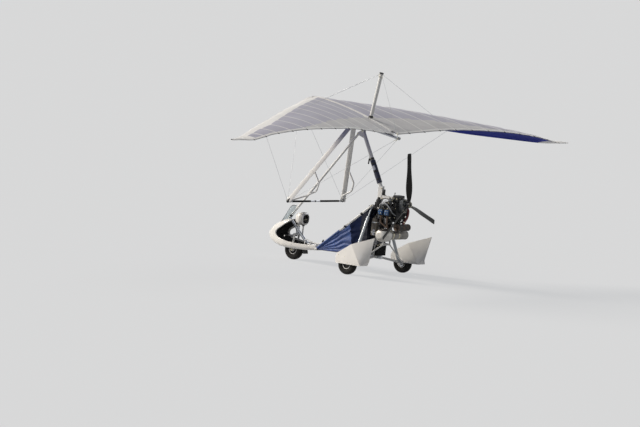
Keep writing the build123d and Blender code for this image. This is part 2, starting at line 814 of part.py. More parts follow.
# Hang block: the pitch barrel between the cheeks and the roll barrel above it
keel_lean = (Vector(*nose) - Vector(*tail)).normalized()
keel_up = Vector(-keel_lean.Z, 0, keel_lean.X)
pitch_point = Vector(*hang)
roll_point = pitch_point + keel_up * roll_rise
roll_half = 30.0
with BuildPart() as hang_block:
    half = cheek_gap / 2 - block_clearance
    across = Vector(0, 1, 0)
    tube(pitch_point - across * half, pitch_point + across * half, 18)
    bolt_half = cheek_gap / 2 + cheek_t + 6
    tube(pitch_point - across * bolt_half, pitch_point + across * bolt_half, bolt_r)
    tube(pitch_point, roll_point, 13)
    tube(roll_point - keel_lean * roll_half, roll_point + keel_lean * roll_half, 16)
    pin_reach = roll_half + lug_gap + lug_t + 6
    tube(roll_point - keel_lean * pin_reach, roll_point + keel_lean * pin_reach, bolt_r)
finish(hang_block, "hang_block")


def on_keel(x):
    """The point of the wing keel's centre line at this place."""
    share = (x - tail[0]) / (nose[0] - tail[0])
    return at(*between(tail, nose, share))


# Keel tube of the wing, with the lugs of the hang bracket and the control frame's bracket
apex_drop = 62.0
apex = Vector(*on_keel(apex_x)) - keel_up * apex_drop
with BuildPart() as wing_keel:
    tube(Vector(*at(*tail)) - keel_lean * 30, Vector(*at(*nose)) + keel_lean * 20, wing_keel_r)
    for way in (-1, 1):
        lug_start = roll_point + keel_lean * (way * (roll_half + lug_gap))
        plane = Plane(origin=lug_start, x_dir=(0, 1, 0), z_dir=keel_lean * way)
        with BuildSketch(plane) as lug:
            up = way
            with BuildLine() as outline:
                Polyline((-20, 0), (20, 0), (20, up * keel_rise), (-20, up * keel_rise), close=True)
            make_face(outline.edges())
            Circle(20)
            Circle(bolt_r + pin_clearance, mode=Mode.SUBTRACT)
        extrude(lug.sketch, amount=lug_t)
    with BuildSketch(Plane(origin=apex, x_dir=keel_lean, z_dir=(0, -1, 0))) as bracket:
        Circle(26)
        with Locations((0, apex_drop / 2)):
            Rectangle(52, apex_drop)
    extrude(bracket.sketch, amount=15, both=True)
finish(wing_keel, "wing_keel")

# Control frame: base bar with its corner fittings, downtubes and the grips of the rear seat
with BuildPart() as base_bar:
    tube(at(bar_x, -bar_half, bar_z), at(bar_x, bar_half, bar_z), bar_r)
    for side in (-1, 1):
        with Locations(at(bar_x, side * bar_half, bar_z)):
            Sphere(corner_r)
finish(base_bar, "base_bar")

grip_share_top = 0.39
grip_route = (
    # rearward, outward and upward from the base bar's corner
    (-398, -300, 365), (-364, -290, 220), (-175, -270, 118), (-50, -135, 44), (0, 0, 0),
)
corners = {side: Vector(*at(bar_x, side * bar_half, bar_z)) for side in sides}
knuckles = {side: apex + Vector(0, side * 45, 0) for side in sides}

nose_half = 17.0
chord_front = 40.0
chord_rear = 52.0


def upright(start, end, extra, mode=Mode.ADD):
    """A streamlined bar from start to end, blunt in front, grown on all sides by extra."""
    line = (end - start).normalized()
    chord_way = (Vector(1, 0, 0) - line * line.X).normalized()
    with BuildSketch(Plane(origin=start, x_dir=chord_way, z_dir=line)) as section:
        with BuildLine() as outline:
            shoulder = chord_front - nose_half
            ThreePointArc((shoulder, -nose_half), (chord_front, 0), (shoulder, nose_half))
            ThreePointArc((shoulder, nose_half), (-14, nose_half * 0.75), (-chord_rear, 2))
            Line((-chord_rear, 2), (-chord_rear, -2))
            ThreePointArc((-chord_rear, -2), (-14, -nose_half * 0.75), (shoulder, -nose_half))
        make_face(outline.edges())
        if extra > 0:
            offset(amount=extra)
    extrude(section.sketch, amount=(end - start).length, mode=mode)


with BuildPart() as downtubes:
    for side in sides:
        upright(knuckles[side], corners[side], 0)
    box(at(apex_x - 200, -15, 2200), at(apex_x + 200, 15, 2700), mode=Mode.SUBTRACT)
    for side in sides:
        tube(apex + Vector(0, side * 15, 0), apex + Vector(0, side * 75, 0), 26)
    add(base_bar.part, mode=Mode.SUBTRACT)
finish(downtubes, "downtubes")

grip_r = 14.0
with BuildPart() as grip_bars:
    for side in sides:
        corner = corners[side]
        clamp = corner + (knuckles[side] - corner) * grip_share_top
        leg_line = (corner - knuckles[side]).normalized()
        upright(clamp - leg_line * 16, clamp + leg_line * 16, 7)
        start = clamp + Vector(-chord_rear - 2, 0, 0)
        path_points = [start]
        path_points += [corner + Vector(x, side * y, z) for x, y, z in grip_route]
        with BuildLine() as route:
            FilletPolyline(*path_points, radius=50)
        with BuildSketch(Plane(origin=start, z_dir=path_points[1] - start)) as section:
            Circle(grip_r)
        sweep(section.sketch, path=route.wires()[0])
        upright(knuckles[side], corner, seat_gap, mode=Mode.SUBTRACT)
    add(base_bar.part, mode=Mode.SUBTRACT)
finish(grip_bars, "grip_bars")

# Sail: one solid double surface to a side, lofted through sections at these stations
sail_table = (
    # y, leading edge x and z, trailing edge x and z, crest above the chord, nose radius
    (40, 1899, 2678, -142, 2405, 215, 34),
    (1500, 1236, 2537, -270, 2508, 205, 32),
    (3000, 555, 2395, -395, 2500, 150, 28),
    (4000, 101, 2335, -470, 2425, 88, 22),
    (4600, -171, 2305, -515, 2335, 40, 16),
    (5050, -376, 2322, -436, 2326, 12, 8),
)
crest_share = 0.2
edge_t = 6.0
under_share = 0.35


def sail_section(side, y, lead_x, lead_z, trail_x, trail_z, crest, nose_r):
    """Section of the sail: a round nose, two upper arcs that meet at the crest, one lower arc."""
    chord = sqrt((lead_x - trail_x) ** 2 + (lead_z - trail_z) ** 2)
    along = ((trail_x - lead_x) / chord, (trail_z - lead_z) / chord)
    up = (along[1], -along[0])

    def point(a, h):
        return (
            lead_x + along[0] * a * chord + up[0] * h + axle_x,
            lead_z + along[1] * a * chord + up[1] * h,
        )

    with BuildSketch(Plane.XZ.offset(-side * y)) as section:
        with BuildLine() as outline:
            top = point(crest_share, crest)
            TangentArc(top, point(0, nose_r), tangent=(-along[0], -along[1]))
            ThreePointArc(point(0, nose_r), point(-nose_r / chord, 0), point(0, -nose_r))
            ThreePointArc(point(0, -nose_r), point(0.45, crest * under_share), point(1, -edge_t / 2))
            Line(point(1, -edge_t / 2), point(1, edge_t / 2))
            TangentArc(top, point(1, edge_t / 2), tangent=along)
        make_face(outline.edges())
    return section.sketch


sails = {}
for side, word in ((1, "left"), (-1, "right")):
    with BuildPart() as sail:
        loft([sail_section(side, *row) for row in sail_table], ruled=True)
    sails[word] = sail
    finish(sail, f"sail_{word}")

# Keel pocket: the raised ridge of cloth that closes the sail over the wing's keel
pocket_rise = 14.0
with BuildPart() as keel_pocket:
    root_y, lead_x, lead_z, trail_x, trail_z, crest, nose_r = sail_table[0]
    with BuildSketch(Plane.XZ) as ridge:
        with BuildLine() as outline:
            low_front = Vector(*on_keel(1880)) + keel_up * (wing_keel_r + seat_gap)
            low_rear = Vector(*on_keel(-150)) + keel_up * (wing_keel_r + seat_gap)
            chord = sqrt((lead_x - trail_x) ** 2 + (lead_z - trail_z) ** 2)
            crest_point = Vector(
                lead_x + (trail_x - lead_x) * crest_share + axle_x,
                0,
                lead_z + (trail_z - lead_z) * crest_share + crest + pocket_rise,
            )
            tail_point = low_rear + keel_up * 40
            TangentArc(
                (crest_point.X, crest_point.Z),
                (low_front.X + 20, low_front.Z + 24),
                tangent=(keel_lean.X, keel_lean.Z),
            )
            TangentArc(
                (crest_point.X, crest_point.Z),
                (tail_point.X, tail_point.Z),
                tangent=(-keel_lean.X, -keel_lean.Z),
            )
            Polyline(
                (low_front.X + 20, low_front.Z + 24),
                (low_front.X, low_front.Z),
                (low_rear.X, low_rear.Z),
                (tail_point.X, tail_point.Z),
            )
        make_face(outline.edges())
    extrude(ridge.sketch, amount=pocket_half - seat_gap, both=True)
    post_foot = Vector(*on_keel(kingpost_x)) + keel_up * wing_keel_r
    post_hole_r = kingpost_r + seat_gap
    tube(post_foot - keel_up * 20, post_foot + keel_up * 400, post_hole_r, mode=Mode.SUBTRACT)
finish(keel_pocket, "keel_pocket")

with BuildPart() as kingpost:
    post_top = Vector(*on_keel(kingpost_x)) + keel_up * kingpost_h
    tube(post_foot, post_top, kingpost_r)
    tube(post_top, post_top + keel_up * 18, kingpost_r + 5)
finish(kingpost, "kingpost")

# Main stays of the wing
nose_eye = Vector(*at(*nose))
tail_eye = Vector(*at(*tail))
wing_solids = [wing_keel, base_bar, downtubes, kingpost, keel_pocket]
wing_solids += [sails["left"], sails["right"]]


def stay_wires(name, pairs):
    with BuildPart() as wires:
        for start, end in pairs:
            tube(start, end, wire_r)
        for solid in wing_solids:
            add(solid.part, mode=Mode.SUBTRACT)
    finish(wires, name)


def junction(side):
    """Where the cross boom meets the leading edge, inside the sail."""
    return Vector(*at(640, side * junction_y, 2425))


stay_wires(
    "lower_wires",
    [(corners[side], end) for side in sides for end in (nose_eye, tail_eye, junction(side))],
)
front_eye = Vector(*on_keel(1700)) + keel_up * 60
stay_wires(
    "upper_wires",
    [(post_top, end) for end in (front_eye, tail_eye, junction(1), junction(-1))],
)
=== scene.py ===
import math

import bmesh
import bpy
from mathutils import Matrix, Vector, noise
from mathutils.bvhtree import BVHTree


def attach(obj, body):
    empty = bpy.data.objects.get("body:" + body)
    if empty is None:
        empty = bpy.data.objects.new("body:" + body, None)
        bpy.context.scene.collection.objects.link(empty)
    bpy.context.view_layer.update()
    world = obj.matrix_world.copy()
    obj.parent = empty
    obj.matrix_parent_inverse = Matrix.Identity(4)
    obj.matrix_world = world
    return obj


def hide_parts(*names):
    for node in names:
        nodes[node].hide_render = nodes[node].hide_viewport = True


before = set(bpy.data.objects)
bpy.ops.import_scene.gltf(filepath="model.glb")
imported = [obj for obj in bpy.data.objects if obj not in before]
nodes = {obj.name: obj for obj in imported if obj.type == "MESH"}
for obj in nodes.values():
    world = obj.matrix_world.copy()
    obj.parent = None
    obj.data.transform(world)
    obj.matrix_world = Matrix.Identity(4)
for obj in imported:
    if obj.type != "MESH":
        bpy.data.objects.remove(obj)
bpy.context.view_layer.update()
print("frame loaded:", len(nodes), "nodes")

axleX = -786.0  # the rear axle: places along X are given from it, in millimetres
forward, port, upward = Vector((1, 0, 0)), Vector((0, 1, 0)), Vector((0, 0, 1))


def at(x, y, z):
    return Vector((x + axleX, y, z)) / 1000


def mix(a, b, share):
    return a + (b - a) * share


def linear(hexColour):
    values = [int(hexColour[i:i + 2], 16) / 255 for i in (1, 3, 5)]
    return [v / 12.92 if v <= 0.04045 else ((v + 0.055) / 1.055) ** 2.4 for v in values] + [1.0]


# camera, light and floor
view = {
    # the photograph's right and up, in pixels for each metre of X, Y and Z
    "right": (-47.1, -33.5, 6.2),
    "up": (7.0, -1.0, 57.5),
    "middle": (0.472, 0.0, 0.862),
    "distance": 80.0,
    "frameWidth": 640 / 58.1,  # metres across the frame, at the aircraft
    "sensor": 36.0,
}
right = Vector(view["right"]).normalized()
up = Vector(view["up"])
up = (up - right * up.dot(right)).normalized()
back = right.cross(up)
camera = bpy.data.objects.new("camera", bpy.data.cameras.new("camera"))
bpy.context.scene.collection.objects.link(camera)
turn = Matrix((right, up, back)).transposed().to_4x4()
camera.matrix_world = Matrix.Translation(Vector(view["middle"]) + back * view["distance"]) @ turn
camera.data.sensor_width = view["sensor"]
camera.data.lens = view["sensor"] * view["distance"] / view["frameWidth"]
camera.data.clip_end = 1500
bpy.context.scene.camera = camera
bpy.context.scene.view_settings.view_transform = "Standard"

studio = {
    "lamps": (
        # name, where it shines from, strength, colour
        ("keyLamp", (0.78, 0.48, 0.47), 3.4, "#fff6ea"),
        ("fillLamp", (-0.2, 0.9, 0.35), 0.1, "#e4ecff"),
        ("farLamp", (0.1, -0.85, 0.5), 0.35, "#ffffff"),
    ),
    "softness": 20,  # degrees across each lamp
    "worldColour": "#eef1f6",
    "worldStrength": 0.175,
    "backdropColour": "#f1f2f3",
    "floorColour": "#bfc1c4",
    "floorGlow": 0.62,  # share of the floor that has the backdrop's own colour; the rest takes the shadow
    "floorSize": 420.0,
}


def addNode(material, kind, values=None, links=None, **settings):
    node = material.node_tree.nodes.new("ShaderNode" + kind)
    for key, value in settings.items():
        setattr(node, key, value)
    for key, value in (values or {}).items():
        node.inputs[key].default_value = value
    for key, source in (links or {}).items():
        material.node_tree.links.new(source, node.inputs[key])
    return node


def newMaterial(name):
    material = bpy.data.materials.new(name)
    material.use_nodes = True
    material.node_tree.nodes.clear()
    return material


def backdropShare(owner):
    # 1 for rays from the camera, from a reflection and through the windscreen
    path = addNode(owner, "LightPath")
    share = path.outputs["Is Camera Ray"]
    for kind in ("Is Glossy Ray", "Is Transmission Ray"):
        larger = addNode(owner, "Math", links={0: share, 1: path.outputs[kind]}, operation="MAXIMUM")
        share = larger.outputs[0]
    return share


def makeStudio():
    for name, direction, strength, colour in studio["lamps"]:
        lamp = bpy.data.objects.new(name, bpy.data.lights.new(name, "SUN"))
        bpy.context.scene.collection.objects.link(lamp)
        lamp.rotation_mode = "QUATERNION"
        lamp.rotation_quaternion = Vector(direction).to_track_quat("Z", "Y")
        lamp.data.energy = strength
        lamp.data.angle = math.radians(studio["softness"])
        lamp.data.color = linear(colour)[:3]
    world = bpy.data.worlds.new("studio")
    world.use_nodes = True
    bpy.context.scene.world = world
    world.node_tree.nodes.clear()
    backdrop = {"Color": linear(studio["backdropColour"]), "Strength": 1.0}
    light = addNode(world, "Background", {"Color": linear(studio["worldColour"]),
                                          "Strength": studio["worldStrength"]})
    shown = addNode(world, "Background", backdrop)
    share = backdropShare(world)
    both = addNode(world, "MixShader", links={0: share, 1: light.outputs[0], 2: shown.outputs[0]})
    addNode(world, "OutputWorld", links={"Surface": both.outputs[0]})
    paper = newMaterial("matteFloorPaper")
    share = addNode(paper, "Math", {1: studio["floorGlow"]}, {0: backdropShare(paper)}, operation="MULTIPLY")
    lit = addNode(paper, "BsdfDiffuse", {"Color": linear(studio["floorColour"])})
    shown = addNode(paper, "Emission", backdrop)
    both = addNode(paper, "MixShader", links={0: share.outputs[0], 1: lit.outputs[0], 2: shown.outputs[0]})
    addNode(paper, "OutputMaterial", links={"Surface": both.outputs[0]})
    half = studio["floorSize"]
    mesh = bpy.data.meshes.new("floor")
    corners = [(-half, -half, 0), (half, -half, 0), (half, half, 0), (-half, half, 0)]
    mesh.from_pydata(corners, [], [(0, 1, 2, 3)])
    mesh.materials.append(paper)
    floor = bpy.data.objects.new("floor", mesh)
    bpy.context.scene.collection.objects.link(floor)


makeStudio()
print("camera, lamps and floor set")

# materials
# each row: the two tones that a soft mottle mixes and the mottle's size, the lowest and highest roughness,
# the size and depth of the grain, then what differs from the shader's own values; sizes are in millimetres
# spread: the part of the mottle that turns one tone into the other
# stretch: draws the grain out, as brushing does; weave: the pitch of the threads and the axes they cross
# through: the share of light that comes through the cloth
finishes = {
    # polyester powder coat on alloy tube: even white, satin, faint orange peel
    "powderCoatedTube": ("#eeeeeb", "#e4e5e4", 180, 0.3, 0.42, 14, 0.04, {"coat": 0.25}),
    # polyester gelcoat on glass laminate: deep gloss, slight waviness of the moulding
    "whiteGelcoat": ("#f2f1ed", "#eae9e6", 260, 0.16, 0.26, 120, 0.05, {"coat": 0.2, "specular": 0.35}),
    # the same laminate painted black inside: matte with dust
    "blackLaminate": ("#101113", "#1d1e20", 60, 0.55, 0.8, 10, 0.25, {}),
    # silver anodised alloy: fine lines drawn along the tube, dull shine
    "anodisedAlloy": ("#b9bcc0", "#a7aaaf", 90, 0.28, 0.42, 12, 0.06,
                      {"metal": 1.0, "stretch": (0.12, 1, 1)}),
    # grey paint with a little metal on the gear legs, darker than the white tubes as painted shade: satin, a
    # little coarse
    "silverPaint": ("#b6bcc0", "#a5abb0", 120, 0.34, 0.48, 10, 0.06, {"metal": 0.35, "coat": 0.15}),
    # sand-cast alloy, left raw: coarse grain, dull grey with oil stain
    "castAlloy": ("#6a6d70", "#3c3e40", 70, 0.42, 0.68, 9, 0.35, {"metal": 0.85}),
    # rolled steel tank under grey-brown paint, rubbed at its bands
    "umberTank": ("#625d56", "#46423d", 60, 0.4, 0.6, 14, 0.1, {"metal": 0.4}),
    # dark painted engine castings
    "darkCasting": ("#1f2022", "#111213", 60, 0.45, 0.72, 9, 0.3, {"metal": 0.3, "specular": 0.35}),
    # stoved enamel on the covers, with paler discs: saturated blue under a gloss coat, both tones darkened as
    # painted shade
    "shadeDeepenedPaleEnamel": ("#336fa8", "#295f94", 30, 0.3, 0.42, 12, 0.06, {"coat": 0.25}),
    "blueEnamel": ("#124373", "#0d3358", 50, 0.3, 0.45, 12, 0.06, {"coat": 0.25}),
    # injection-moulded ABS: spark-eroded grain, satin black
    "blackAbs": ("#131416", "#1c1d1f", 50, 0.42, 0.58, 8, 0.15, {"specular": 0.35}),
    # black anodised alloy: dark with a metallic edge to its shine
    "blackAnodised": ("#1c1d1f", "#2a2b2e", 40, 0.35, 0.5, 9, 0.08, {"metal": 0.6}),
    # aluminised steel sheet, rolled and welded: pale, dull, with brown heat tint in patches
    "aluminisedSteel": ("#c3c1bc", "#8c7f70", 150, 0.35, 0.6, 16, 0.12,
                        {"metal": 0.55, "spread": (0.5, 0.8)}),
    # mild steel that ran hot: brown and blue oxide over grey
    "heatTintedSteel": ("#5f4e41", "#332c28", 60, 0.4, 0.65, 12, 0.12, {"metal": 0.75}),
    # the same steel where it runs hottest: near-black oxide with brown patches
    "darkOxideSteel": ("#241f1c", "#5c4a3c", 70, 0.5, 0.72, 12, 0.15,
                       {"metal": 0.4, "spread": (0.45, 0.75)}),
    # the silencer's barrel: the same aluminised sheet, greyer as painted shade
    "shadeDulledSteel": ("#8f8e8b", "#6a6058", 120, 0.4, 0.65, 16, 0.12, {"metal": 0.5, "spread": (0.45, 0.8)}),
    # radiator core: thin fins under matte black paint, made darker still as painted shade for the dark
    # between them
    "blackCore": ("#0b0b0c", "#141415", 30, 0.75, 0.9, 8, 0.3, {"specular": 0.15}),
    # galvanised wire rope: light grey, the lay of the strands drawn coarser than it is
    "galvanisedWire": ("#cfd2d4", "#9da1a5", 12, 0.35, 0.5, 6, 0.3, {"metal": 0.6}),
    # zinc-plated bolts and clamps: bright with a yellow cast
    "zincPlate": ("#d3cfbf", "#b9ae86", 20, 0.25, 0.42, 6, 0.08, {"metal": 1.0}),
    # vulcanised tyre rubber: near black, chalky on the tread
    "tyreRubber": ("#131313", "#262523", 40, 0.7, 0.92, 7, 0.3, {"specular": 0.25}),
    # extruded rubber hose: soft sheen, smooth
    "hoseRubber": ("#121213", "#1e1e1f", 40, 0.5, 0.66, 10, 0.08, {}),
    # grey rubber hose
    "greyHose": ("#a9adb0", "#93979a", 40, 0.4, 0.55, 10, 0.1, {}),
    # silicone hose, dark red with cloth ply showing faintly
    "redSilicone": ("#6d1016", "#4c0a10", 40, 0.35, 0.5, 9, 0.15, {}),
    # closed-cell foam sleeve: black and matte with an open pore
    "foamSleeve": ("#0e0e0f", "#171718", 20, 0.85, 0.97, 5, 0.4, {"specular": 0.2}),
    # rotomoulded polyethylene tank: milky, waxy
    "milkyPolyethylene": ("#c9c3b2", "#b8b09b", 120, 0.4, 0.55, 22, 0.1, {"under": 0.15}),
    # vinyl-coated seat cloth: pebbled grain, soft sheen on the crowns
    "seatVinyl": ("#17181b", "#202126", 80, 0.5, 0.68, 6, 0.35, {"sheen": 0.25}),
    # blue cord along the seams
    "seatPiping": ("#2a3f86", "#22346f", 30, 0.5, 0.6, 5, 0.2, {}),
    # coated nylon cloth, royal blue: thread lines and a crisp sheen on the folds
    "royalNylon": ("#2a5298", "#1e3b76", 90, 0.42, 0.6, 30, 0.2, {"sheen": 0.35, "weave": (14, "XZ")}),
    # the same cloth where it turns to the rear, nearly black as painted shade
    "nylonPaintedShade": ("#0a0f1e", "#0e1529", 90, 0.5, 0.68, 30, 0.2, {"specular": 0.25, "weave": (14, "XZ")}),
    # between the two: matt, deep blue, darkened as painted half shade
    "nylonPaintedHalfShade": ("#0e1c3e", "#0a1530", 90, 0.68, 0.82, 30, 0.2, {"specular": 0.12, "weave": (14, "XZ")}),
    # mast sleeve and trims, with a pale patch
    "navyNylon": ("#141b33", "#1b2443", 60, 0.6, 0.8, 12, 0.3, {"sheen": 0.3, "weave": (12, "YZ")}),
    "paleNylon": ("#c5cad6", "#b5bac8", 40, 0.6, 0.8, 9, 0.25, {"sheen": 0.3}),
    # woven polyester webbing: fine ribs across the strap
    "webbing": ("#151618", "#202124", 20, 0.7, 0.85, 5, 0.4, {"sheen": 0.2}),
    # resin-stiffened polyester sailcloth, white, painted with a lilac cast that stands for shade and for the
    # blue light through the under surface
    "lilacShadeSailcloth": ("#c9c9d8", "#bebecf", 420, 0.38, 0.55, 160, 0.12,
                       {"sheen": 0.15, "through": 0.3, "weave": (45, "XY")}),
    # the same cloth without the painted lilac cast, for the edge bands, pockets and tips
    "whiteSailcloth": ("#f6f6f5", "#eeeeef", 300, 0.38, 0.55, 120, 0.1,
                       {"sheen": 0.15, "through": 0.12, "weave": (45, "XY")}),
    # the same cloth over a stiffening scrim, greyer than the bands
    "paleSailcloth": ("#dcdcde", "#d0d0d3", 300, 0.42, 0.58, 120, 0.12,
                      {"sheen": 0.15, "through": 0.2, "weave": (45, "XY")}),
    # the under surface and the nose's lower edge: matt blue
    "blueSailcloth": ("#152ba0", "#102388", 420, 0.6, 0.75, 140, 0.12,
                      {"specular": 0.15, "through": 0.1, "weave": (45, "XY")}),
    # carbon laminate under clear lacquer, painted black: long smooth reflections
    "blackBladeLacquer": ("#121212", "#1b1917", 120, 0.42, 0.55, 60, 0.05, {"specular": 0.2}),
    # instruments and the buckle's button
    "gaugeFace": ("#08090a", "#0d0e10", 20, 0.3, 0.4, 6, 0.05, {}),
    "gaugePrint": ("#f0f0ea", "#e6e6e0", 10, 0.5, 0.6, 4, 0.05, {}),
    "redKnob": ("#b3161a", "#991015", 20, 0.3, 0.42, 8, 0.08, {"coat": 0.3}),
}
materials = {}


def makeMaterial(name, colour, second, patch, low, high, grainSize, grainDepth, extras):
    material = newMaterial(name)
    place = addNode(material, "TexCoord").outputs["Object"]
    mottle = addNode(material, "TexNoise", {"Scale": 1000 / patch, "Detail": 3.0, "Roughness": 0.55},
                     {"Vector": place}).outputs["Fac"]
    spreadLow, spreadHigh = extras.get("spread", (0.3, 0.7))
    share = addNode(material, "MapRange", {"From Min": spreadLow, "From Max": spreadHigh}, {"Value": mottle})
    tone = addNode(material, "Mix", {6: linear(colour), 7: linear(second)}, {0: share.outputs[0]},
                   data_type="RGBA").outputs[2]
    rough = addNode(material, "MapRange", {"To Min": low, "To Max": high}, {"Value": mottle})
    stretched = addNode(material, "Mapping", {"Scale": extras.get("stretch", (1, 1, 1))}, {"Vector": place})
    height = addNode(material, "TexNoise", {"Scale": 1000 / grainSize, "Detail": 2.0},
                     {"Vector": stretched.outputs[0]}).outputs["Fac"]
    weave, axes = extras.get("weave", (1, ""))
    for axis in axes:
        thread = addNode(material, "TexWave", {"Scale": 1000 / weave / 3.14, "Distortion": 0.3},
                         {"Vector": place}, bands_direction=axis)
        both = addNode(material, "Math", {}, {0: height, 1: thread.outputs["Fac"]}, operation="ADD")
        height = both.outputs[0]
    bump = addNode(material, "Bump", {"Strength": grainDepth, "Distance": grainSize / 4000},
                   {"Height": height}).outputs[0]
    shader = addNode(material, "BsdfPrincipled",
                     {"Metallic": extras.get("metal", 0.0), "Coat Weight": extras.get("coat", 0.0),
                      "Specular IOR Level": extras.get("specular", 0.5),
                      "Coat Roughness": 0.08, "Sheen Weight": extras.get("sheen", 0.0),
                      "Subsurface Weight": extras.get("under", 0.0)},
                     {"Base Color": tone, "Roughness": rough.outputs[0], "Normal": bump})
    surface = shader.outputs[0]
    if "through" in extras:
        glow = addNode(material, "BsdfTranslucent", links={"Color": tone})
        both = addNode(material, "MixShader", {0: extras["through"]}, {1: surface, 2: glow.outputs[0]})
        surface = both.outputs[0]
    addNode(material, "OutputMaterial", links={"Surface": surface})
    materials[name] = material


for name, row in finishes.items():
    makeMaterial(name, *row)

# cast acrylic, smoke grey: clear, thin, a few haze patches where it was wiped
acrylic = newMaterial("smokeAcrylic")
haze = addNode(acrylic, "TexNoise", {"Scale": 14.0, "Detail": 3.0},
               {"Vector": addNode(acrylic, "TexCoord").outputs["Object"]})
rough = addNode(acrylic, "MapRange", {"To Min": 0.02, "To Max": 0.12}, {"Value": haze.outputs["Fac"]})
shader = addNode(acrylic, "BsdfPrincipled",
                 {"Base Color": linear("#ccd4d6"), "Transmission Weight": 0.96, "IOR": 1.49},
                 {"Roughness": rough.outputs[0]})
addNode(acrylic, "OutputMaterial", links={"Surface": shader.outputs[0]})
materials["smokeAcrylic"] = acrylic
print("materials made:", len(materials))

# the CAD nodes that stay, by finish
nodeFinishes = {
    "anodisedAlloy": ("keel_tube", "hang_block", "wing_keel"),
    "powderCoatedTube": ("pylon", "mast", "front_strut", "seat_braces", "axles", "drag_stays", "fork",
                         "front_rim", "left_rim", "right_rim", "engine_bearer", "downtubes", "grip_bars",
                         "kingpost"),
    "silverPaint": ("gear_struts",),
    "darkCasting": ("crankcase", "cylinder_heads"),
    "blueEnamel": ("valve_covers",),
    "castAlloy": ("gearbox", "intake_pipes"),
    "blackAbs": ("air_box",),
    "heatTintedSteel": ("exhaust_pipes",),
    "aluminisedSteel": ("silencers",),
    "umberTank": ("oil_tank",),
    "blackCore": ("radiator",),
    "blackBladeLacquer": ("prop_blades",),
    "galvanisedWire": ("lower_wires", "upper_wires"),
    "milkyPolyethylene": ("fuel_tank",),
}
for finish, names in nodeFinishes.items():
    for name in names:
        nodes[name].data.materials.clear()
        nodes[name].data.materials.append(materials[finish])
print("CAD nodes finished")


# mesh helpers: places in metres, sizes in millimetres
def addRings(bm, rings, finish=0, closed=True, loop=False, caps=True):
    rows = [[bm.verts.new(p) for p in ring] for ring in rings]
    count = len(rows[0])
    pairs = list(zip(rows, rows[1:])) + ([(rows[-1], rows[0])] if loop else [])
    for one, two in pairs:
        for i in range(count if closed else count - 1):
            j = (i + 1) % count
            bm.faces.new((one[i], one[j], two[j], two[i])).material_index = finish
    if caps and closed and not loop:
        bm.faces.new(rows[0]).material_index = finish
        bm.faces.new(rows[-1]).material_index = finish


def addSurface(bm, rows, finish=0):
    addRings(bm, rows, finish, closed=False, caps=False)


def circle(centre, axis, radius, sides, start=None):
    axis = Vector(axis).normalized()
    across = Vector(start) if start is not None else axis.orthogonal()
    across = (across - axis * across.dot(axis)).normalized()
    over = axis.cross(across)
    angles = [2 * math.pi * i / sides for i in range(sides)]
    return [centre + (across * math.cos(a) + over * math.sin(a)) * radius / 1000 for a in angles]


def addTube(bm, points, radius, sides=12, finish=0, loop=False, caps=True):
    radii = radius if hasattr(radius, "__len__") else [radius] * len(points)
    rings = []
    across = None
    for i, point in enumerate(points):
        before = points[i - 1] if i or loop else point
        after = points[(i + 1) % len(points)] if i + 1 < len(points) or loop else point
        axis = (after - before).normalized()
        across = axis.orthogonal() if across is None else across - axis * across.dot(axis)
        rings.append(circle(point, axis, radii[i], sides, across))
        across = rings[-1][0] - point
    addRings(bm, rings, finish, loop=loop, caps=caps)


def addLathe(bm, centre, axis, profile, sides=32, finish=0, start=None):
    # profile: distance along the axis and radius, in millimetres
    axis = Vector(axis).normalized()
    rings = [circle(centre + axis * a / 1000, axis, max(r, 0.05), sides, start) for a, r in profile]
    addRings(bm, rings, finish)


def addBlock(bm, low, high, rounding=3.0, finish=0, segments=2):
    made = bmesh.ops.create_cube(bm, size=1.0)["verts"]
    size = high - low
    for vert in made:
        vert.co = Vector([low[i] + (vert.co[i] + 0.5) * size[i] for i in range(3)])
    faces = {f for v in made for f in v.link_faces}
    for face in faces:
        face.material_index = finish
    edges = list({e for v in made for e in v.link_edges})
    bmesh.ops.bevel(bm, geom=edges, offset=rounding / 1000, segments=segments, profile=0.5, affect="EDGES",
                    material=finish)


def addPlate(bm, middle, along, over, size, rounding=2.0, finish=0, segments=2):
    # a rounded block of this size, in millimetres, turned to the two directions
    along = Vector(along).normalized()
    over = (Vector(over) - along * along.dot(Vector(over))).normalized()
    across = over.cross(along)
    half = Vector(size) / 2000
    before = set(bm.verts)
    addBlock(bm, -half, half, rounding, finish, segments)
    for vert in set(bm.verts) - before:
        vert.co = middle + along * vert.co.x + across * vert.co.y + over * vert.co.z


def addBolt(bm, place, axis, width=13.0, finish=0):
    # a washer, a six-sided head and a bevelled top
    axis = Vector(axis).normalized()
    addLathe(bm, place - axis * 0.001, axis, ((0, width * 0.8), (2.5, width * 0.8)), 16, finish)
    head = width / 2 / math.cos(math.pi / 6)
    addLathe(bm, place, axis, ((1, head), (width * 0.5, head), (width * 0.58, head * 0.8)), 6, finish)


def smoothPath(points, steps=6, loop=False):
    # a curve through every point, bent as a tube is
    count = len(points)
    made = []
    for i in range(count if loop else count - 1):
        if loop:
            a, b, c, d = (points[(i + k - 1) % count] for k in range(4))
        else:
            a, b, c, d = (points[min(max(i + k - 1, 0), count - 1)] for k in range(4))
        for k in range(steps):
            t = k / steps
            made.append(0.5 * (2 * b + (c - a) * t + (2 * a - 5 * b + 4 * c - d) * t * t
                               + (3 * b - 3 * c + d - a) * t ** 3))
    return made if loop else made + [points[-1]]


def settle(name, bm, body, finish, angle=38, replaced=()):
    bmesh.ops.recalc_face_normals(bm, faces=bm.faces)
    mesh = bpy.data.meshes.new(name)
    bm.to_mesh(mesh)
    bm.free()
    for word in ([finish] if isinstance(finish, str) else finish):
        mesh.materials.append(materials[word])
    mesh.shade_smooth()
    mesh.set_sharp_from_angle(angle=math.radians(angle))
    piece = bpy.data.objects.new(name, mesh)
    bpy.context.scene.collection.objects.link(piece)
    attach(piece, body)
    if replaced:
        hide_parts(*replaced)
    return piece


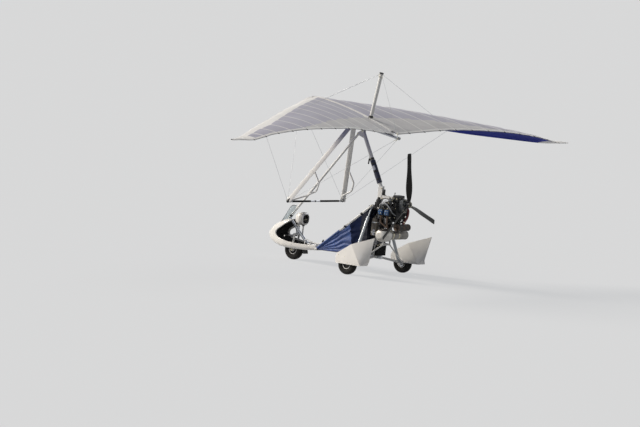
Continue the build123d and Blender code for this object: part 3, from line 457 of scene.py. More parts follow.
def copyOf(name):
    bm = bmesh.new()
    bm.from_mesh(nodes[name].data)
    bmesh.ops.remove_doubles(bm, verts=bm.verts, dist=0.00002)
    for face in bm.faces:
        face.material_index = 0
    return bm


def addModifier(piece, kind, **settings):
    modifier = piece.modifiers.new(kind.lower(), kind)
    for key, value in settings.items():
        setattr(modifier, key, value)


def applyModifiers(piece):
    evaluated = piece.evaluated_get(bpy.context.evaluated_depsgraph_get())
    mesh = bpy.data.meshes.new_from_object(evaluated)
    piece.modifiers.clear()
    piece.data = mesh


def thicken(piece, thickness, offset=0):
    # makes a surface a sheet this thick, in millimetres
    addModifier(piece, "SOLIDIFY", thickness=thickness / 1000, offset=offset)
    applyModifiers(piece)


def mirrored(places, side):
    return [at(x, side * y, z) for x, y, z in places]


def addHose(bm, places, radius, sides=12, finish=0, steps=8, side=1):
    # a bent tube through these places, in millimetres
    addTube(bm, smoothPath(mirrored(places, side), steps), radius, sides, finish)


def addFins(bm, block, step, count, rounding, finish):
    # equal blocks, each a step further than the one before, in millimetres
    low, high = (Vector(corner) for corner in block)
    for k in range(count):
        shift = Vector(step) * k
        addBlock(bm, at(*(low + shift)), at(*(high + shift)), rounding, finish, 1)


def addBoltPairs(bm, places, finish=0):
    # bolts that face outward on both sides: x, y, z and width, in millimetres
    for x, y, z, width in places:
        for side in (-1, 1):
            addBolt(bm, at(x, side * y, z), port * side, width, finish)


def addAcross(bm, place, half, width, finish=0):
    # a bolt on either side of a place in the middle plane
    for side in (-1, 1):
        addBolt(bm, place + port * (side * half), port * side, width, finish)


# wing: two skins to a side, with bands, batten pockets and tips
wing = {
    "stations": (
        # y, leading edge x and z, trailing edge x and z, crest above the chord, nose radius
        (40, 1899, 2678, -142, 2405, 215, 34),
        (1500, 1236, 2537, -270, 2508, 205, 32),
        (3000, 555, 2395, -395, 2500, 150, 28),
        (4000, 101, 2335, -470, 2425, 88, 22),
        (4600, -171, 2305, -515, 2335, 40, 16),
        (5050, -376, 2322, -436, 2326, 12, 8),
    ),
    "crestShare": 0.2,
    "edge": 6.0,
    "underShare": 0.35,  # the under surface's height, as a share of the crest
    "underMiddle": 0.45,  # and the share of the chord where it has it
    "battens": (40, 360, 760, 1180, 1620, 2070, 2530, 2990, 3440, 3870, 4260, 4600, 5048),
    "bulge": 9.0,  # how far the cloth rises between two battens
    "scallop": 9.0,  # how far the rear edge draws in between two battens
    "noseBand": 345.0,
    "tailBand": 62.0,
    "underStart": 0.1,  # share of the chord where the upper skin ends below the nose
    "clothThickness": 1.2,
    "tipFrom": 4500.0,
    "rootPale": (640.0, 3400.0),  # the paler cloth at the rear edge: its depth at the keel, and where it ends
    "blueColumns": 6,  # columns of faces from the lower edge round the nose that are blue, then white
    "whiteColumns": 16,
    "tailColumns": 3,
    "pocketHalfWidth": 17.0,
}
keel = {
    "nose": Vector((1917.0, 0.0, 2681.0)),
    "tail": Vector((-192.0, 0.0, 2350.0)),
    "radius": 25.0,
    "pocketHalf": 39.0,
    "pocketRise": 14.0,
}
keelLean = (keel["nose"] - keel["tail"]).normalized()
keelUp = Vector((-keelLean.z, 0, keelLean.x))


def onKeel(x, rise=0.0):
    share = (x - keel["tail"].x) / (keel["nose"].x - keel["tail"].x)
    return keel["tail"].lerp(keel["nose"], share) + keelUp * rise


def stationAt(y):
    # the section's values at this y, smooth from station to station
    rows = wing["stations"]
    y = min(max(abs(y), rows[0][0]), rows[-1][0])
    i = next(k for k in range(len(rows) - 1) if y <= rows[k + 1][0])
    span = rows[i + 1][0] - rows[i][0]
    t = (y - rows[i][0]) / span
    values = []
    for column in range(1, 7):
        slope = []
        for k in (i, i + 1):
            low, high = max(k - 1, 0), min(k + 1, len(rows) - 1)
            slope.append((rows[high][column] - rows[low][column]) / (rows[high][0] - rows[low][0]) * span)
        a, b = rows[i][column], rows[i + 1][column]
        smooth = ((2 * t ** 3 - 3 * t * t + 1) * a + (t ** 3 - 2 * t * t + t) * slope[0]
                  + (3 * t * t - 2 * t ** 3) * b + (t ** 3 - t * t) * slope[1])
        values.append(mix(a + (b - a) * t, smooth, 0.7))
    return values


def fall(run, drop, way):
    # height lost on an arc that starts level and drops this far over its run
    if drop <= 0:
        return 0.0
    radius = (run * run + drop * drop) / (2 * drop)
    return radius - math.sqrt(max(radius * radius - (way * run) ** 2, 0))


def sailPoint(side, y, share, lower=False, lift=0.0):
    leadX, leadZ, trailX, trailZ, crest, noseR = stationAt(y)
    chord = math.hypot(leadX - trailX, leadZ - trailZ)
    along = ((trailX - leadX) / chord, (trailZ - leadZ) / chord)
    if share < 0:  # round the nose: -0.5 is its foremost point
        angle = math.pi * (0.5 + share)
        run, height = -noseR * math.cos(angle), noseR * math.sin(angle)
        run -= lift * math.cos(angle)
        height += lift * math.sin(angle)
    elif lower:
        run = share * chord
        # a curve through three heights: at the nose, in the middle and at the rear edge
        a, b, c = -noseR, crest * wing["underShare"], -wing["edge"] / 2
        mid = wing["underMiddle"]
        height = (a * (share - mid) * (share - 1) / mid + b * share * (share - 1) / (mid * (mid - 1))
                  + c * share * (share - mid) / (1 - mid))
        height -= lift
    else:
        run = share * chord
        top = wing["crestShare"]
        if share < top:
            height = crest - fall(top * chord, crest - noseR, (top - share) / top)
        else:
            height = crest - fall((1 - top) * chord, crest - wing["edge"] / 2, (share - top) / (1 - top))
        height += lift
    return at(leadX + along[0] * run + along[1] * height,
              side * y, leadZ + along[1] * run - along[0] * height)


def bayOf(y):
    # how far this y is through its bay between two battens, as a bump from 0 to 1
    edges = wing["battens"]
    for low, high in zip(edges, edges[1:]):
        if low <= y <= high:
            t = (y - low) / (high - low)
            return 4 * t * (1 - t)
    return 0.0


def spanRows(steps):
    rows = []
    for low, high in zip(wing["battens"], wing["battens"][1:]):
        rows += [mix(low, high, k / steps) for k in range(steps)]
    return rows + [wing["battens"][-1]]


def skin(name, side, lower):
    bm = bmesh.new()
    rows = []
    ys = spanRows(7)
    for y in ys:
        leadX, leadZ, trailX, trailZ, crest, noseR = stationAt(y)
        chord = math.hypot(leadX - trailX, leadZ - trailZ)
        band = min(wing["noseBand"], chord * 0.45) / chord
        tailBand = min(wing["tailBand"], chord * 0.2) / chord
        bay = bayOf(y)
        pull = wing["scallop"] * bay / chord
        start = wing["underStart"]
        if lower:
            shares = [mix(start, 1 - tailBand, k / 22) for k in range(23)]
            shares += [1 - tailBand / 2, 1.0 - pull]
            row = []
            for share in shares:
                wave = wing["bulge"] * 0.6 * bay * math.sin(math.pi * min(share, 1)) ** 0.6
                row.append(sailPoint(side, y, share, True, wave - 1))
        else:
            row = [sailPoint(side, y, mix(start, 0, k / 3), True) for k in range(3)]
            row += [sailPoint(side, y, -1 + k / 8) for k in range(8)]
            row += [sailPoint(side, y, band * k / 5) for k in range(5)]
            for k in range(25):
                share = mix(band, 1 - tailBand, k / 24)
                wave = wing["bulge"] * bay * math.sin(math.pi * share) ** 0.6
                row.append(sailPoint(side, y, share, False, wave))
            row += [sailPoint(side, y, 1 - tailBand / 2), sailPoint(side, y, 1 - pull)]
        rows.append([bm.verts.new(p) for p in row])
    count = len(rows[0])
    tailFrom = count - wing["tailColumns"]
    for r in range(len(rows) - 1):
        middleY = (ys[r] + ys[r + 1]) / 2
        tip = middleY > wing["tipFrom"]
        pale = wing["rootPale"][0] * max(1 - middleY / wing["rootPale"][1], 0)
        trailing = stationAt(middleY)[2]
        for c in range(count - 1):
            face = bm.faces.new((rows[r][c], rows[r][c + 1], rows[r + 1][c + 1], rows[r + 1][c]))
            if tip or c >= tailFrom:
                face.material_index = 1
            elif not lower and c < wing["blueColumns"]:
                face.material_index = 2
            elif not lower and c < wing["whiteColumns"]:
                face.material_index = 1
            elif not lower and face.calc_center_median().x < at(trailing + pale, 0, 0).x:
                face.material_index = 3
    # the upper skin's main cloth is painted lilac for its shade
    main = "blueSailcloth" if lower else "lilacShadeSailcloth"
    cloths = (main, "whiteSailcloth", "blueSailcloth", "paleSailcloth")
    piece = settle(name, bm, "wing", cloths)
    thicken(piece, wing["clothThickness"])
    return piece


def battenPockets(name, side):
    # a sewn pocket over each batten, with the batten's end cap and its loop at the rear edge
    bm = bmesh.new()
    for y in wing["battens"][1:-1]:
        rings = []
        half = wing["pocketHalfWidth"]
        section = ((-half, 0.4), (-9, 3.4), (0, 4.6), (9, 3.4), (half, 0.4), (half, -1.5), (-half, -1.5))
        for k in range(31):
            share = mix(0.05, 0.985, k / 30)
            rings.append([sailPoint(side, y + across, share, False, lift) for across, lift in section])
        addRings(bm, rings)
        tail = sailPoint(side, y, 1.0)
        before = sailPoint(side, y, 0.97)
        out = (tail - before).normalized()
        addTube(bm, [tail - out * 0.03, tail + out * 0.012, tail + out * 0.016], (6, 6, 3), 10, 1)
    return settle(name, bm, "wing", ("whiteSailcloth", "blackAbs"))


for side, word in ((1, "Left"), (-1, "Right")):
    upper = skin("sailUpper" + word, side, False)
    under = skin("sailUnder" + word, side, True)
    pockets = battenPockets("battenPockets" + word, side)
    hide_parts("sail_" + word.lower())
print("sails made")


# wheels: grooved tyres, hub caps, bolts and valves, and a disc brake on each rear wheel
wheels = {
    "radius": 172.0,
    "places": (("front", 1720.0, 0.0, 1), ("left", 0.0, 830.0, 1), ("right", 0.0, -830.0, -1)),
    # half width and radius of the section: wall, then tread
    "sidewall": ((35, 78.4), (38, 84), (44, 94), (50, 106), (54.5, 118), (56, 127), (55.6, 137), (53, 147),
                 (48, 156)),
    "crown": ((42, 162.2), (32, 167.6), (20, 171.2), (8, 172.0)),
    "grooves": (-27.0, -9.5, 9.5, 27.0),
    "grooveWidth": 4.0,
    "grooveDepth": 4.0,
    "lugs": 44,
    "lugAt": (160.5, 43.5),  # radius and half width where the lugs' middles are
    "lugSize": (12, 17, 7),
    "wallRings": ((112, 52.2), (146, 53.2)),
    "rimBolts": 6,
    "boltCircle": 57,
    "discRadius": 60.0,
}


def crownAt(y):
    rows = [(56, 127), (48, 156), *wheels["crown"], (0, wheels["radius"])]
    for (a, ra), (b, rb) in zip(rows, rows[1:]):
        if b <= abs(y) <= a:
            return mix(rb, ra, (abs(y) - b) / (a - b))
    return wheels["radius"]


def tyreProfile():
    left = [(-y, r) for y, r in wheels["sidewall"]]
    tread = {-42.0, 42.0, -36.0, 36.0, -18.0, 18.0, 0.0}
    dips = {}
    half = wheels["grooveWidth"] / 2
    for y in wheels["grooves"]:
        for edge, depth in ((-half - 0.4, 0), (-half, wheels["grooveDepth"]), (half, wheels["grooveDepth"]),
                            (half + 0.4, 0)):
            tread.add(y + edge)
            dips[y + edge] = depth
    middle = [(y, crownAt(y) - dips.get(y, 0)) for y in sorted(tread)]
    return left + middle + [(y, r) for y, r in reversed(wheels["sidewall"])]


for word, x, y, side in wheels["places"]:
    body = word + "_wheel"
    centre = at(x, y, wheels["radius"])
    bm = bmesh.new()
    addLathe(bm, centre, port, tyreProfile(), 96, 0, start=(1, 0, 0))
    lugR, lugY = (v / 1000 for v in wheels["lugAt"])
    for k in range(wheels["lugs"]):
        for way in (-1, 1):
            angle = 2 * math.pi * (k + max(way, 0) / 2) / wheels["lugs"]
            out = Vector((math.cos(angle), 0, math.sin(angle)))
            place = centre + out * lugR + port * (way * lugY)
            slope = (out * 0.8 + port * (way * 0.6)).normalized()
            addPlate(bm, place, out.cross(port), slope, wheels["lugSize"], 1.2, 0, 1)
    # two raised rings on each wall, where the mould's parts met
    for way in (-1, 1):
        for ringR, ringY in wheels["wallRings"]:
            ring = circle(centre + port * (way * ringY / 1000), port, ringR, 96, forward)
            addTube(bm, ring, 1.3, 6, 0, loop=True)
    settle(word + "TyreTread", bm, body, "tyreRubber", 32, (word + "_tyre",))
    bm = bmesh.new()
    out = port * side
    dish = 0.022 if side > 0 else 0.014  # the rim's disc lies to port of the wheel's middle
    for spot in circle(centre + port * dish, port, wheels["boltCircle"], wheels["rimBolts"],
                       (3 ** 0.5, 0, 1)):
        addBolt(bm, spot, out, 11, 0)
    valve = centre + Vector((0.0, side * 0.02, 0.066))
    addTube(bm, [valve, valve + Vector((0, side * 0.016, -0.006))], (4, 3), 8, 1)
    if word != "front":
        cap = centre + out * 0.0425
        addLathe(bm, cap, out, ((0, 29), (4, 28), (10, 22), (13, 12), (14, 2)), 28, 1)
        disc = centre - out * 0.0485
        addLathe(bm, disc, out, ((0, wheels["discRadius"]), (4, wheels["discRadius"])), 48, 2)
        addLathe(bm, disc + out * 0.004, out, ((0, 26), (4.3, 24)), 28, 0)
    settle(word + "WheelFittings", bm, body, ("zincPlate", "blackAbs", "anodisedAlloy"), 38)
print("wheels made")

# wheel brakes and fork: callipers on the carriers, nuts, rubber sleeves where the feet rest, mudflap
forkParts = {
    "bar": Vector((1822.0, 185.0, 404.0)),
    "sleeve": (78.0, 181.0),
    "sleeveRadius": 15.5,
    "ribs": 12,
    "ribDepth": 1.6,
    "calliper": (-57, 776, 176),
    "nut": ((((0, 17), (2.5, 17)), 20), (((2, 15), (13, 15), (15, 11)), 6), (((13, 8), (20, 7.5)), 12)),
    "legY": 69.0,
    "flap": ((1500.0, 222.0), (1486.0, 178.0), (1470.0, 128.0)),  # x and z of its three rows
    "flapHalf": 78.0,
}
bm = bmesh.new()
for side in (-1, 1):
    x, y, z = forkParts["calliper"]
    place = at(x, side * y, z)
    addPlate(bm, place, forward, upward, (38, 22, 50), 4, 0)
    addPlate(bm, place - port * (side * 0.010), forward, upward, (26, 12, 34), 3, 0)
    for z in (-0.016, 0.016):
        addBolt(bm, place + Vector((-0.012, -side * 0.0125, z)), -port * side, 8, 1)
settle("brakeCallipers", bm, "trike", ("castAlloy", "zincPlate"), 38)

bm = bmesh.new()
for side in (-1, 1):
    inner, outer = (at(forkParts["bar"].x, side * y, forkParts["bar"].z) for y in forkParts["sleeve"])
    radius = forkParts["sleeveRadius"]
    reach = (outer - inner).length * 1000
    profile = [(0, 12), (1, radius)]
    for k in range(1, forkParts["ribs"]):
        along = reach * k / forkParts["ribs"]
        profile += [(along - 1.4, radius), (along, radius - forkParts["ribDepth"]), (along + 1.4, radius)]
    profile += [(reach - 3, radius), (reach - 2.5, 19), (reach, 18), (reach + 1.5, 14)]
    addLathe(bm, inner, outer - inner, profile, 20, 0)
    nut = at(1720, side * (forkParts["legY"] + 7.3), 172)
    for profile, sides in forkParts["nut"]:
        addLathe(bm, nut, port * side, profile, sides, 1)
settle("footRests", bm, "fork", ("hoseRubber", "zincPlate"), 38)
bm = bmesh.new()
rows = []
for (x, z), drop in zip(forkParts["flap"], (0, 6, 10)):
    across = [k / 4 - 1 for k in range(9)]
    rows.append([at(x + drop * (1 - u * u), forkParts["flapHalf"] * u, z) for u in across])
addSurface(bm, rows)
flap = settle("mudflap", bm, "trike", "hoseRubber", 60)
thicken(flap, 3, -1)
addModifier(flap, "SUBSURF", levels=2, render_levels=2)
applyModifiers(flap)

# nose pod: the moulded tub with rolled edges, black inside
pod = {
    "sections": (
        # x, half width, lowest and highest z, corner radius
        (1100, 248, 245, 712, 60), (1350, 260, 219, 712, 66), (1628, 272, 207, 712, 72),
        (1800, 262, 209, 700, 84), (1930, 236, 217, 645, 98), (2060, 198, 245, 588, 110),
        (2150, 158, 280, 518, 100), (2215, 92, 325, 462, 60), (2242, 26, 368, 405, 15),
    ),
    # x and z along the cockpit's edge, from its rear end round the nose
    "edge": ((1106, 329), (1200, 318), (1300, 307), (1400, 304), (1500, 303), (1600, 305), (1700, 312),
             (1790, 325), (1870, 341), (1930, 360), (1975, 388), (2002, 425), (1996, 466), (1968, 503),
             (1890, 556), (1800, 617), (1720, 671), (1672, 704)),
    "lip": 14.0,
    "lipIn": 10.0,
    "voxel": 6.5,
    "smoothing": 7,
    "facesKept": 0.45,
    "whiteNear": 24.0,  # within this of the lip the inner side is white too
    "axisZ": 450.0,
}


def podHalf(x, z):
    # half width of the skin at this place
    rows = pod["sections"]
    x = min(max(x, rows[0][0]), rows[-1][0] - 1)
    i = next(k for k in range(len(rows) - 1) if x <= rows[k + 1][0])
    t = (x - rows[i][0]) / (rows[i + 1][0] - rows[i][0])
    half, low, high, corner = [mix(a, b, t) for a, b in zip(rows[i][1:], rows[i + 1][1:])]
    rise = max(min(z - low, high - z), 0)
    if rise >= corner:
        return half
    return half - corner + math.sqrt(corner ** 2 - (corner - rise) ** 2)


bm = copyOf("pod")
lipLines = []
for side in (-1, 1):
    line = smoothPath([at(x, side * (podHalf(x, z) - pod["lipIn"]), z) for x, z in pod["edge"]], 5)
    lipLines.append(line)
    addTube(bm, line, pod["lip"], 12)
tub = settle("podTub", bm, "trike", ("whiteGelcoat", "blackLaminate"), 180, ("pod",))
addModifier(tub, "REMESH", mode="VOXEL", voxel_size=pod["voxel"] / 1000, use_smooth_shade=True)
addModifier(tub, "SMOOTH", iterations=pod["smoothing"], factor=0.5)
addModifier(tub, "DECIMATE", ratio=pod["facesKept"])
applyModifiers(tub)
tub.data.materials.clear()
for word in ("whiteGelcoat", "blackLaminate"):
    tub.data.materials.append(materials[word])
lipTree = [p for line in lipLines for p in line]
for polygon in tub.data.polygons:
    centre = polygon.center
    outward = centre - Vector((centre.x, 0, pod["axisZ"] / 1000))
    inside = outward.dot(polygon.normal) < 0
    if inside and min((centre - p).length_squared for p in lipTree) > (pod["whiteNear"] / 1000) ** 2:
        polygon.material_index = 1
tub.data.shade_smooth()
print("pod made:", len(tub.data.polygons), "faces")

# windscreen: one bent sheet with rounded upper corners, a rubber strip and screws at its foot
screen = {
    "foot": Vector((2008.0, 0.0, 616.0)),
    "top": Vector((1825.0, 0.0, 933.0)),
    "half": 130.0,
    "sweep": 36.0,
    "thick": 4.0,
    "footBow": 34.0,  # how far the foot rises towards the sides
    "topBow": 8.0,
    "cornerDrop": 26.0,
    "narrowing": 0.1,  # share of the width that the rounded corners take off at the top
    "screws": (-5 / 6, -5 / 12, 0, 5 / 12, 5 / 6),
}
screenLean = (screen["top"] - screen["foot"]).normalized()
screenBack = Vector((-screenLean.z, 0, screenLean.x))


def onScreen(u, along):
    # u across from -1 to 1, along in millimetres from the foot
    place = screen["foot"] + screenLean * along + screenBack * screen["sweep"] * u * u
    return at(place.x, screen["half"] * u, place.z)


screenLength = (screen["top"] - screen["foot"]).length
bm = bmesh.new()
rows = []
for k in range(27):
    v = k / 26
    row = []
    for j in range(25):
        u = j / 12 - 1
        start = screen["footBow"] * u * u - 6
        end = screenLength - screen["cornerDrop"] * abs(u) ** 6 - screen["topBow"] * u * u
        row.append(onScreen(u * (1 - screen["narrowing"] * v ** 6), mix(start, end, v)))
    rows.append(row)
addSurface(bm, rows)
pane = settle("windscreenPane", bm, "trike", "smokeAcrylic", 180, ("windscreen",))
thicken(pane, screen["thick"])
bm = bmesh.new()
rim = [onScreen(u, screen["footBow"] * u * u - 1) for u in [j / 12 - 1 for j in range(25)]]
addTube(bm, rim, 8.0, 10, 0)
for u in screen["screws"]:
    place = onScreen(u, 14 + screen["footBow"] * u * u) - screenBack * 0.003
    addBolt(bm, place, -screenBack, 9, 1)
settle("windscreenTrim", bm, "trike", ("hoseRubber", "blackAnodised"), 38)

# binnacle: a helmet-shaped moulding on its post, with the gauges on a black panel
binnacle = {
    "rings": (
        # x, half width, lowest and highest z
        (1534, 92, 640, 806), (1538, 97, 634, 813), (1552, 104, 625, 824), (1580, 109, 618, 833),
        (1615, 109, 617, 834), (1650, 104, 622, 829), (1684, 92, 634, 816), (1708, 74, 652, 796),
        (1722, 52, 676, 770), (1729, 24, 704, 740),
    ),
    "panelDepth": 10.0,
    "lines": (1562, 1584, 1606),
    "postX": 1580,
    "power": 2.7,  # of the rounded outline: 2 is an ellipse
    "needleSweep": (225, -45),  # degrees, from a gauge's first tick to its last
    # y, z and radius of each gauge, and where its needle points, from 0 to 1
    "gauges": ((-43, 762, 37, 0.35), (43, 762, 37, 0.8), (-58, 684, 25, 0.2), (0, 680, 25, 0.6),
               (58, 684, 25, 0.45)),
    "ticks": 11,
}


def helmetRing(x, half, low, high, inset=0.0):
    ring = []
    power = 2 / binnacle["power"]
    for k in range(40):
        c, s = math.cos(2 * math.pi * k / 40), math.sin(2 * math.pi * k / 40)
        y = (half - inset) * math.copysign(abs(c) ** power, c)
        z = (low + high) / 2 + ((high - low) / 2 - inset) * math.copysign(abs(s) ** power, s)
        ring.append(at(x, y, z))
    return ring


bm = bmesh.new()
first = binnacle["rings"][0]
panelX = first[0] + binnacle["panelDepth"]
rings = [helmetRing(*row) for row in binnacle["rings"]]
rings = [helmetRing(panelX, *first[1:], 7), helmetRing(first[0] + 1, *first[1:], 6)] + rings
addRings(bm, rings)
for face in bm.faces:
    if len(face.verts) > 4 and face.calc_center_median().x < at(1600, 0, 0).x:
        face.material_index = 1
# three raised black lines over the helmet's rear half
for x in binnacle["lines"]:
    half, low, high = next(row[1:] for row in binnacle["rings"] if row[0] >= x)
    addTube(bm, helmetRing(x, half, low, high, -1.0), 2.6, 6, 1, loop=True)
addTube(bm, [at(binnacle["postX"], 0, 455), at(binnacle["postX"], 0, 640)], 14, 20, 2)
addLathe(bm, at(binnacle["postX"], 0, 600), upward, ((0, 20), (3, 24), (24, 24)), 24, 3)
settle("binnacleShell", bm, "trike", ("whiteGelcoat", "blackAbs", "powderCoatedTube", "hoseRubber"), 40,
       ("binnacle",))
bm = bmesh.new()
toPilot = -forward
for y, z, radius, needle in binnacle["gauges"]:
    place = at(panelX, y, z)
    addLathe(bm, place, toPilot,
             ((0, radius), (5, radius), (6.5, radius - 2), (5, radius - 4), (2, radius - 4.5)), 36, 0)
    addLathe(bm, place, toPilot, ((1, radius - 4), (2, radius - 4)), 36, 1)
    for k in range(binnacle["ticks"]):
        angle = math.radians(mix(*binnacle["needleSweep"], k / (binnacle["ticks"] - 1)))
        out = Vector((0, -math.cos(angle), math.sin(angle)))
        tick = place + toPilot * 0.0022 + out * (radius - 8) / 1000
        addPlate(bm, tick, out, toPilot, (5, 1.4, 0.6), 0.1, 2, 1)
    angle = math.radians(mix(*binnacle["needleSweep"], needle))
    out = Vector((0, -math.cos(angle), math.sin(angle)))
    addPlate(bm, place + toPilot * 0.0032 + out * radius * 0.3 / 1000, out, toPilot,
             (radius * 0.85, 1.8, 0.8), 0.2, 2, 1)
    addLathe(bm, place, toPilot, ((2, 3.6), (4.4, 3.2)), 14, 0)
for k in range(4):
    place = at(panelX, -24 + 16 * k, 718)
    addLathe(bm, place, toPilot, ((0, 4.5), (2.5, 4.5)), 6, 3)
    addTube(bm, [place, place + Vector((-0.011, 0, 0.005))], (2, 2.6), 8, 3)
settle("gauges", bm, "trike", ("blackAnodised", "gaugeFace", "gaugePrint", "zincPlate"), 38)
print("cockpit shell made")

# base bar: foam sleeves on the round tube, bare where the wires' clamps and the hands sit
baseBar = {
    "x": 1380.0,
    "z": 1060.0,
    "half": 820.0,
    "radius": 14.0,
    "foamRadius": 17.0,
    "foam": ((-700, -125), (2, 30), (150, 700)),  # where each sleeve starts and ends
}
# where the two uprights meet below the keel
apex = {
    "x": 777.0,
    "drop": -62.0,
    "half": 45.0,
}
bm = bmesh.new()
ends = [at(baseBar["x"], y, baseBar["z"]) for y in (-baseBar["half"], baseBar["half"])]
addTube(bm, ends, baseBar["radius"], 24, 0)
for low, high in baseBar["foam"]:
    start = at(baseBar["x"], low, baseBar["z"])
    run = high - low
    radius = baseBar["foamRadius"]
    profile = ((0, 14.2), (1, 16), (4, radius), (run - 4, radius), (run - 1, 16), (run, 14.2))
    addLathe(bm, start, port, profile, 24, 1)
for side in (-1, 1):
    # forged corner fitting: a socket on the bar, a fork that takes the upright, and its bolt
    corner = at(baseBar["x"], side * baseBar["half"], baseBar["z"])
    addLathe(bm, corner - port * (side * 0.075), port * side,
             ((0, 15), (2, 18), (60, 18), (70, 22), (86, 22), (92, 17), (94, 8)), 24, 2)
    knuckle = onKeel(apex["x"], apex["drop"])
    knuckle = at(knuckle.x, side * apex["half"], knuckle.z)
    rise = (knuckle - corner).normalized()
    addLathe(bm, corner, rise, ((-18, 16), (0, 24), (18, 24), (30, 21), (58, 19)), 24, 2)
    for shift in (-0.052, -0.028):
        addBolt(bm, corner + Vector((0.0, side * shift, 0.018)), upward, 10, 3)
    for way in (-1, 1):
        addBolt(bm, corner + rise * 0.012 + forward * (way * 0.024), forward * way, 13, 3)
settle("baseBarTube", bm, "wing", ("anodisedAlloy", "foamSleeve", "blackAnodised", "zincPlate"), 38,
       ("base_bar",))

# wheel spats: the moulded halves with softened edges
spats = {
    "flatDegrees": 1,  # faces that meet at less than this are one
    "edgeDegrees": 8,  # edges sharper than this are softened
    "edgeWidth": 4.5,
}
for side, word in ((1, "left"), (-1, "right")):
    bm = copyOf("spat_" + word)
    shell = settle(word + "SpatShell", bm, "trike", "whiteGelcoat", 30, ("spat_" + word,))
    addModifier(shell, "DECIMATE", decimate_type="DISSOLVE", angle_limit=math.radians(spats["flatDegrees"]))
    addModifier(shell, "BEVEL", width=spats["edgeWidth"] / 1000, segments=3, limit_method="ANGLE",
                angle_limit=math.radians(spats["edgeDegrees"]), harden_normals=True)
    applyModifiers(shell)
print("control frame and spats made")

# seats: swollen cushions with sewn channels, piping at their edges, and lap belts
seats = {
    "places": (
        # word, x of the back's foot, z of the base, length and rise
        ("Front", 640.0, 322.3, 420.0, 360.0),
        ("Rear", 175.0, 610.3, 360.0, 560.0),
    ),
    "half": 175.0,
    "thick": 75.0,
    "voxel": 8.0,
    "shrink": 8.0,
    "pressure": 4.0,
    "cap": 12.0,  # how far a point of the cover may move while it fills
    "channels": ((0, 130, 4), (2, 70, 6)),  # axis, where the first is and how many: cushion, then back
    "channelPitch": 88.0,
    "channelEnd": 40,  # no channel within this of the cushion's or the back's end
    "channelDepth": 6.0,
    "channelWidth": 8.0,
    "pipingRadius": 3.4,
    "beltRoute": ((104, 146), (128, 122), (165, 78), (192, 20)),  # ahead of the back's foot, and to the side
    "beltWidth": 42.0,
    "beltThick": 1.8,
    "beltSlack": 1.04,
}


def fillCover(piece):
    # air pressure in a closed cover does what foam does to it
    start = [vert.co.copy() for vert in piece.data.vertices]
    cloth = piece.modifiers.new("fill", "CLOTH")
    cloth.settings.use_pressure = True
    cloth.settings.uniform_pressure_force = seats["pressure"]
    cloth.settings.effector_weights.gravity = 0
    for step in range(1, 21):
        bpy.context.scene.frame_set(step)
    applyModifiers(piece)
    bpy.context.scene.frame_set(1)
    cap = seats["cap"] / 1000
    for vert, first in zip(piece.data.vertices, start):
        move = vert.co - first
        if move.length > cap:
            vert.co = first + move * (cap / move.length)


def sewChannels(piece, x, z, length, rise):
    # stitched lines across the cushion and the back press the cover in
    top = z + seats["thick"]
    lines = []
    for (axis, first, count), start in zip(seats["channels"], (x, top)):
        lines += [(axis, start + first + seats["channelPitch"] * k) for k in range(count)]
    ends = (x + length - seats["channelEnd"], 0, z + rise - seats["channelEnd"])
    moved = []
    for vert in piece.data.vertices:
        place = Vector((vert.co.x * 1000 - axleX, vert.co.y * 1000, vert.co.z * 1000))
        edge = min(max((seats["half"] - 12 - abs(place.y)) / 30, 0), 1)
        push = 0.0
        for axis, where in lines:
            facing = vert.normal[2 - axis]
            if facing > 0.5 and where < ends[axis] and (axis == 2 or place.z < top + 40):
                away = (place[axis] - where) / seats["channelWidth"]
                push += seats["channelDepth"] * math.exp(-away ** 2)
        moved.append(vert.co - vert.normal * push * edge / 1000)
    for vert, place in zip(piece.data.vertices, moved):
        vert.co = place
    floor = (z + 0.5) / 1000
    for vert in piece.data.vertices:
        vert.co.z = max(vert.co.z, floor)  # flat where it rests


def surfaceOf(piece):
    bm = bmesh.new()
    bm.from_mesh(piece.data)
    tree = BVHTree.FromBMesh(bm)
    bm.free()
    return tree


def laid(tree, place, way, lift):
    # the point of the cover that a line from this place meets, raised by lift millimetres
    hit, normal = tree.ray_cast(place, way)[:2]
    return (hit + normal * lift / 1000) if hit else None


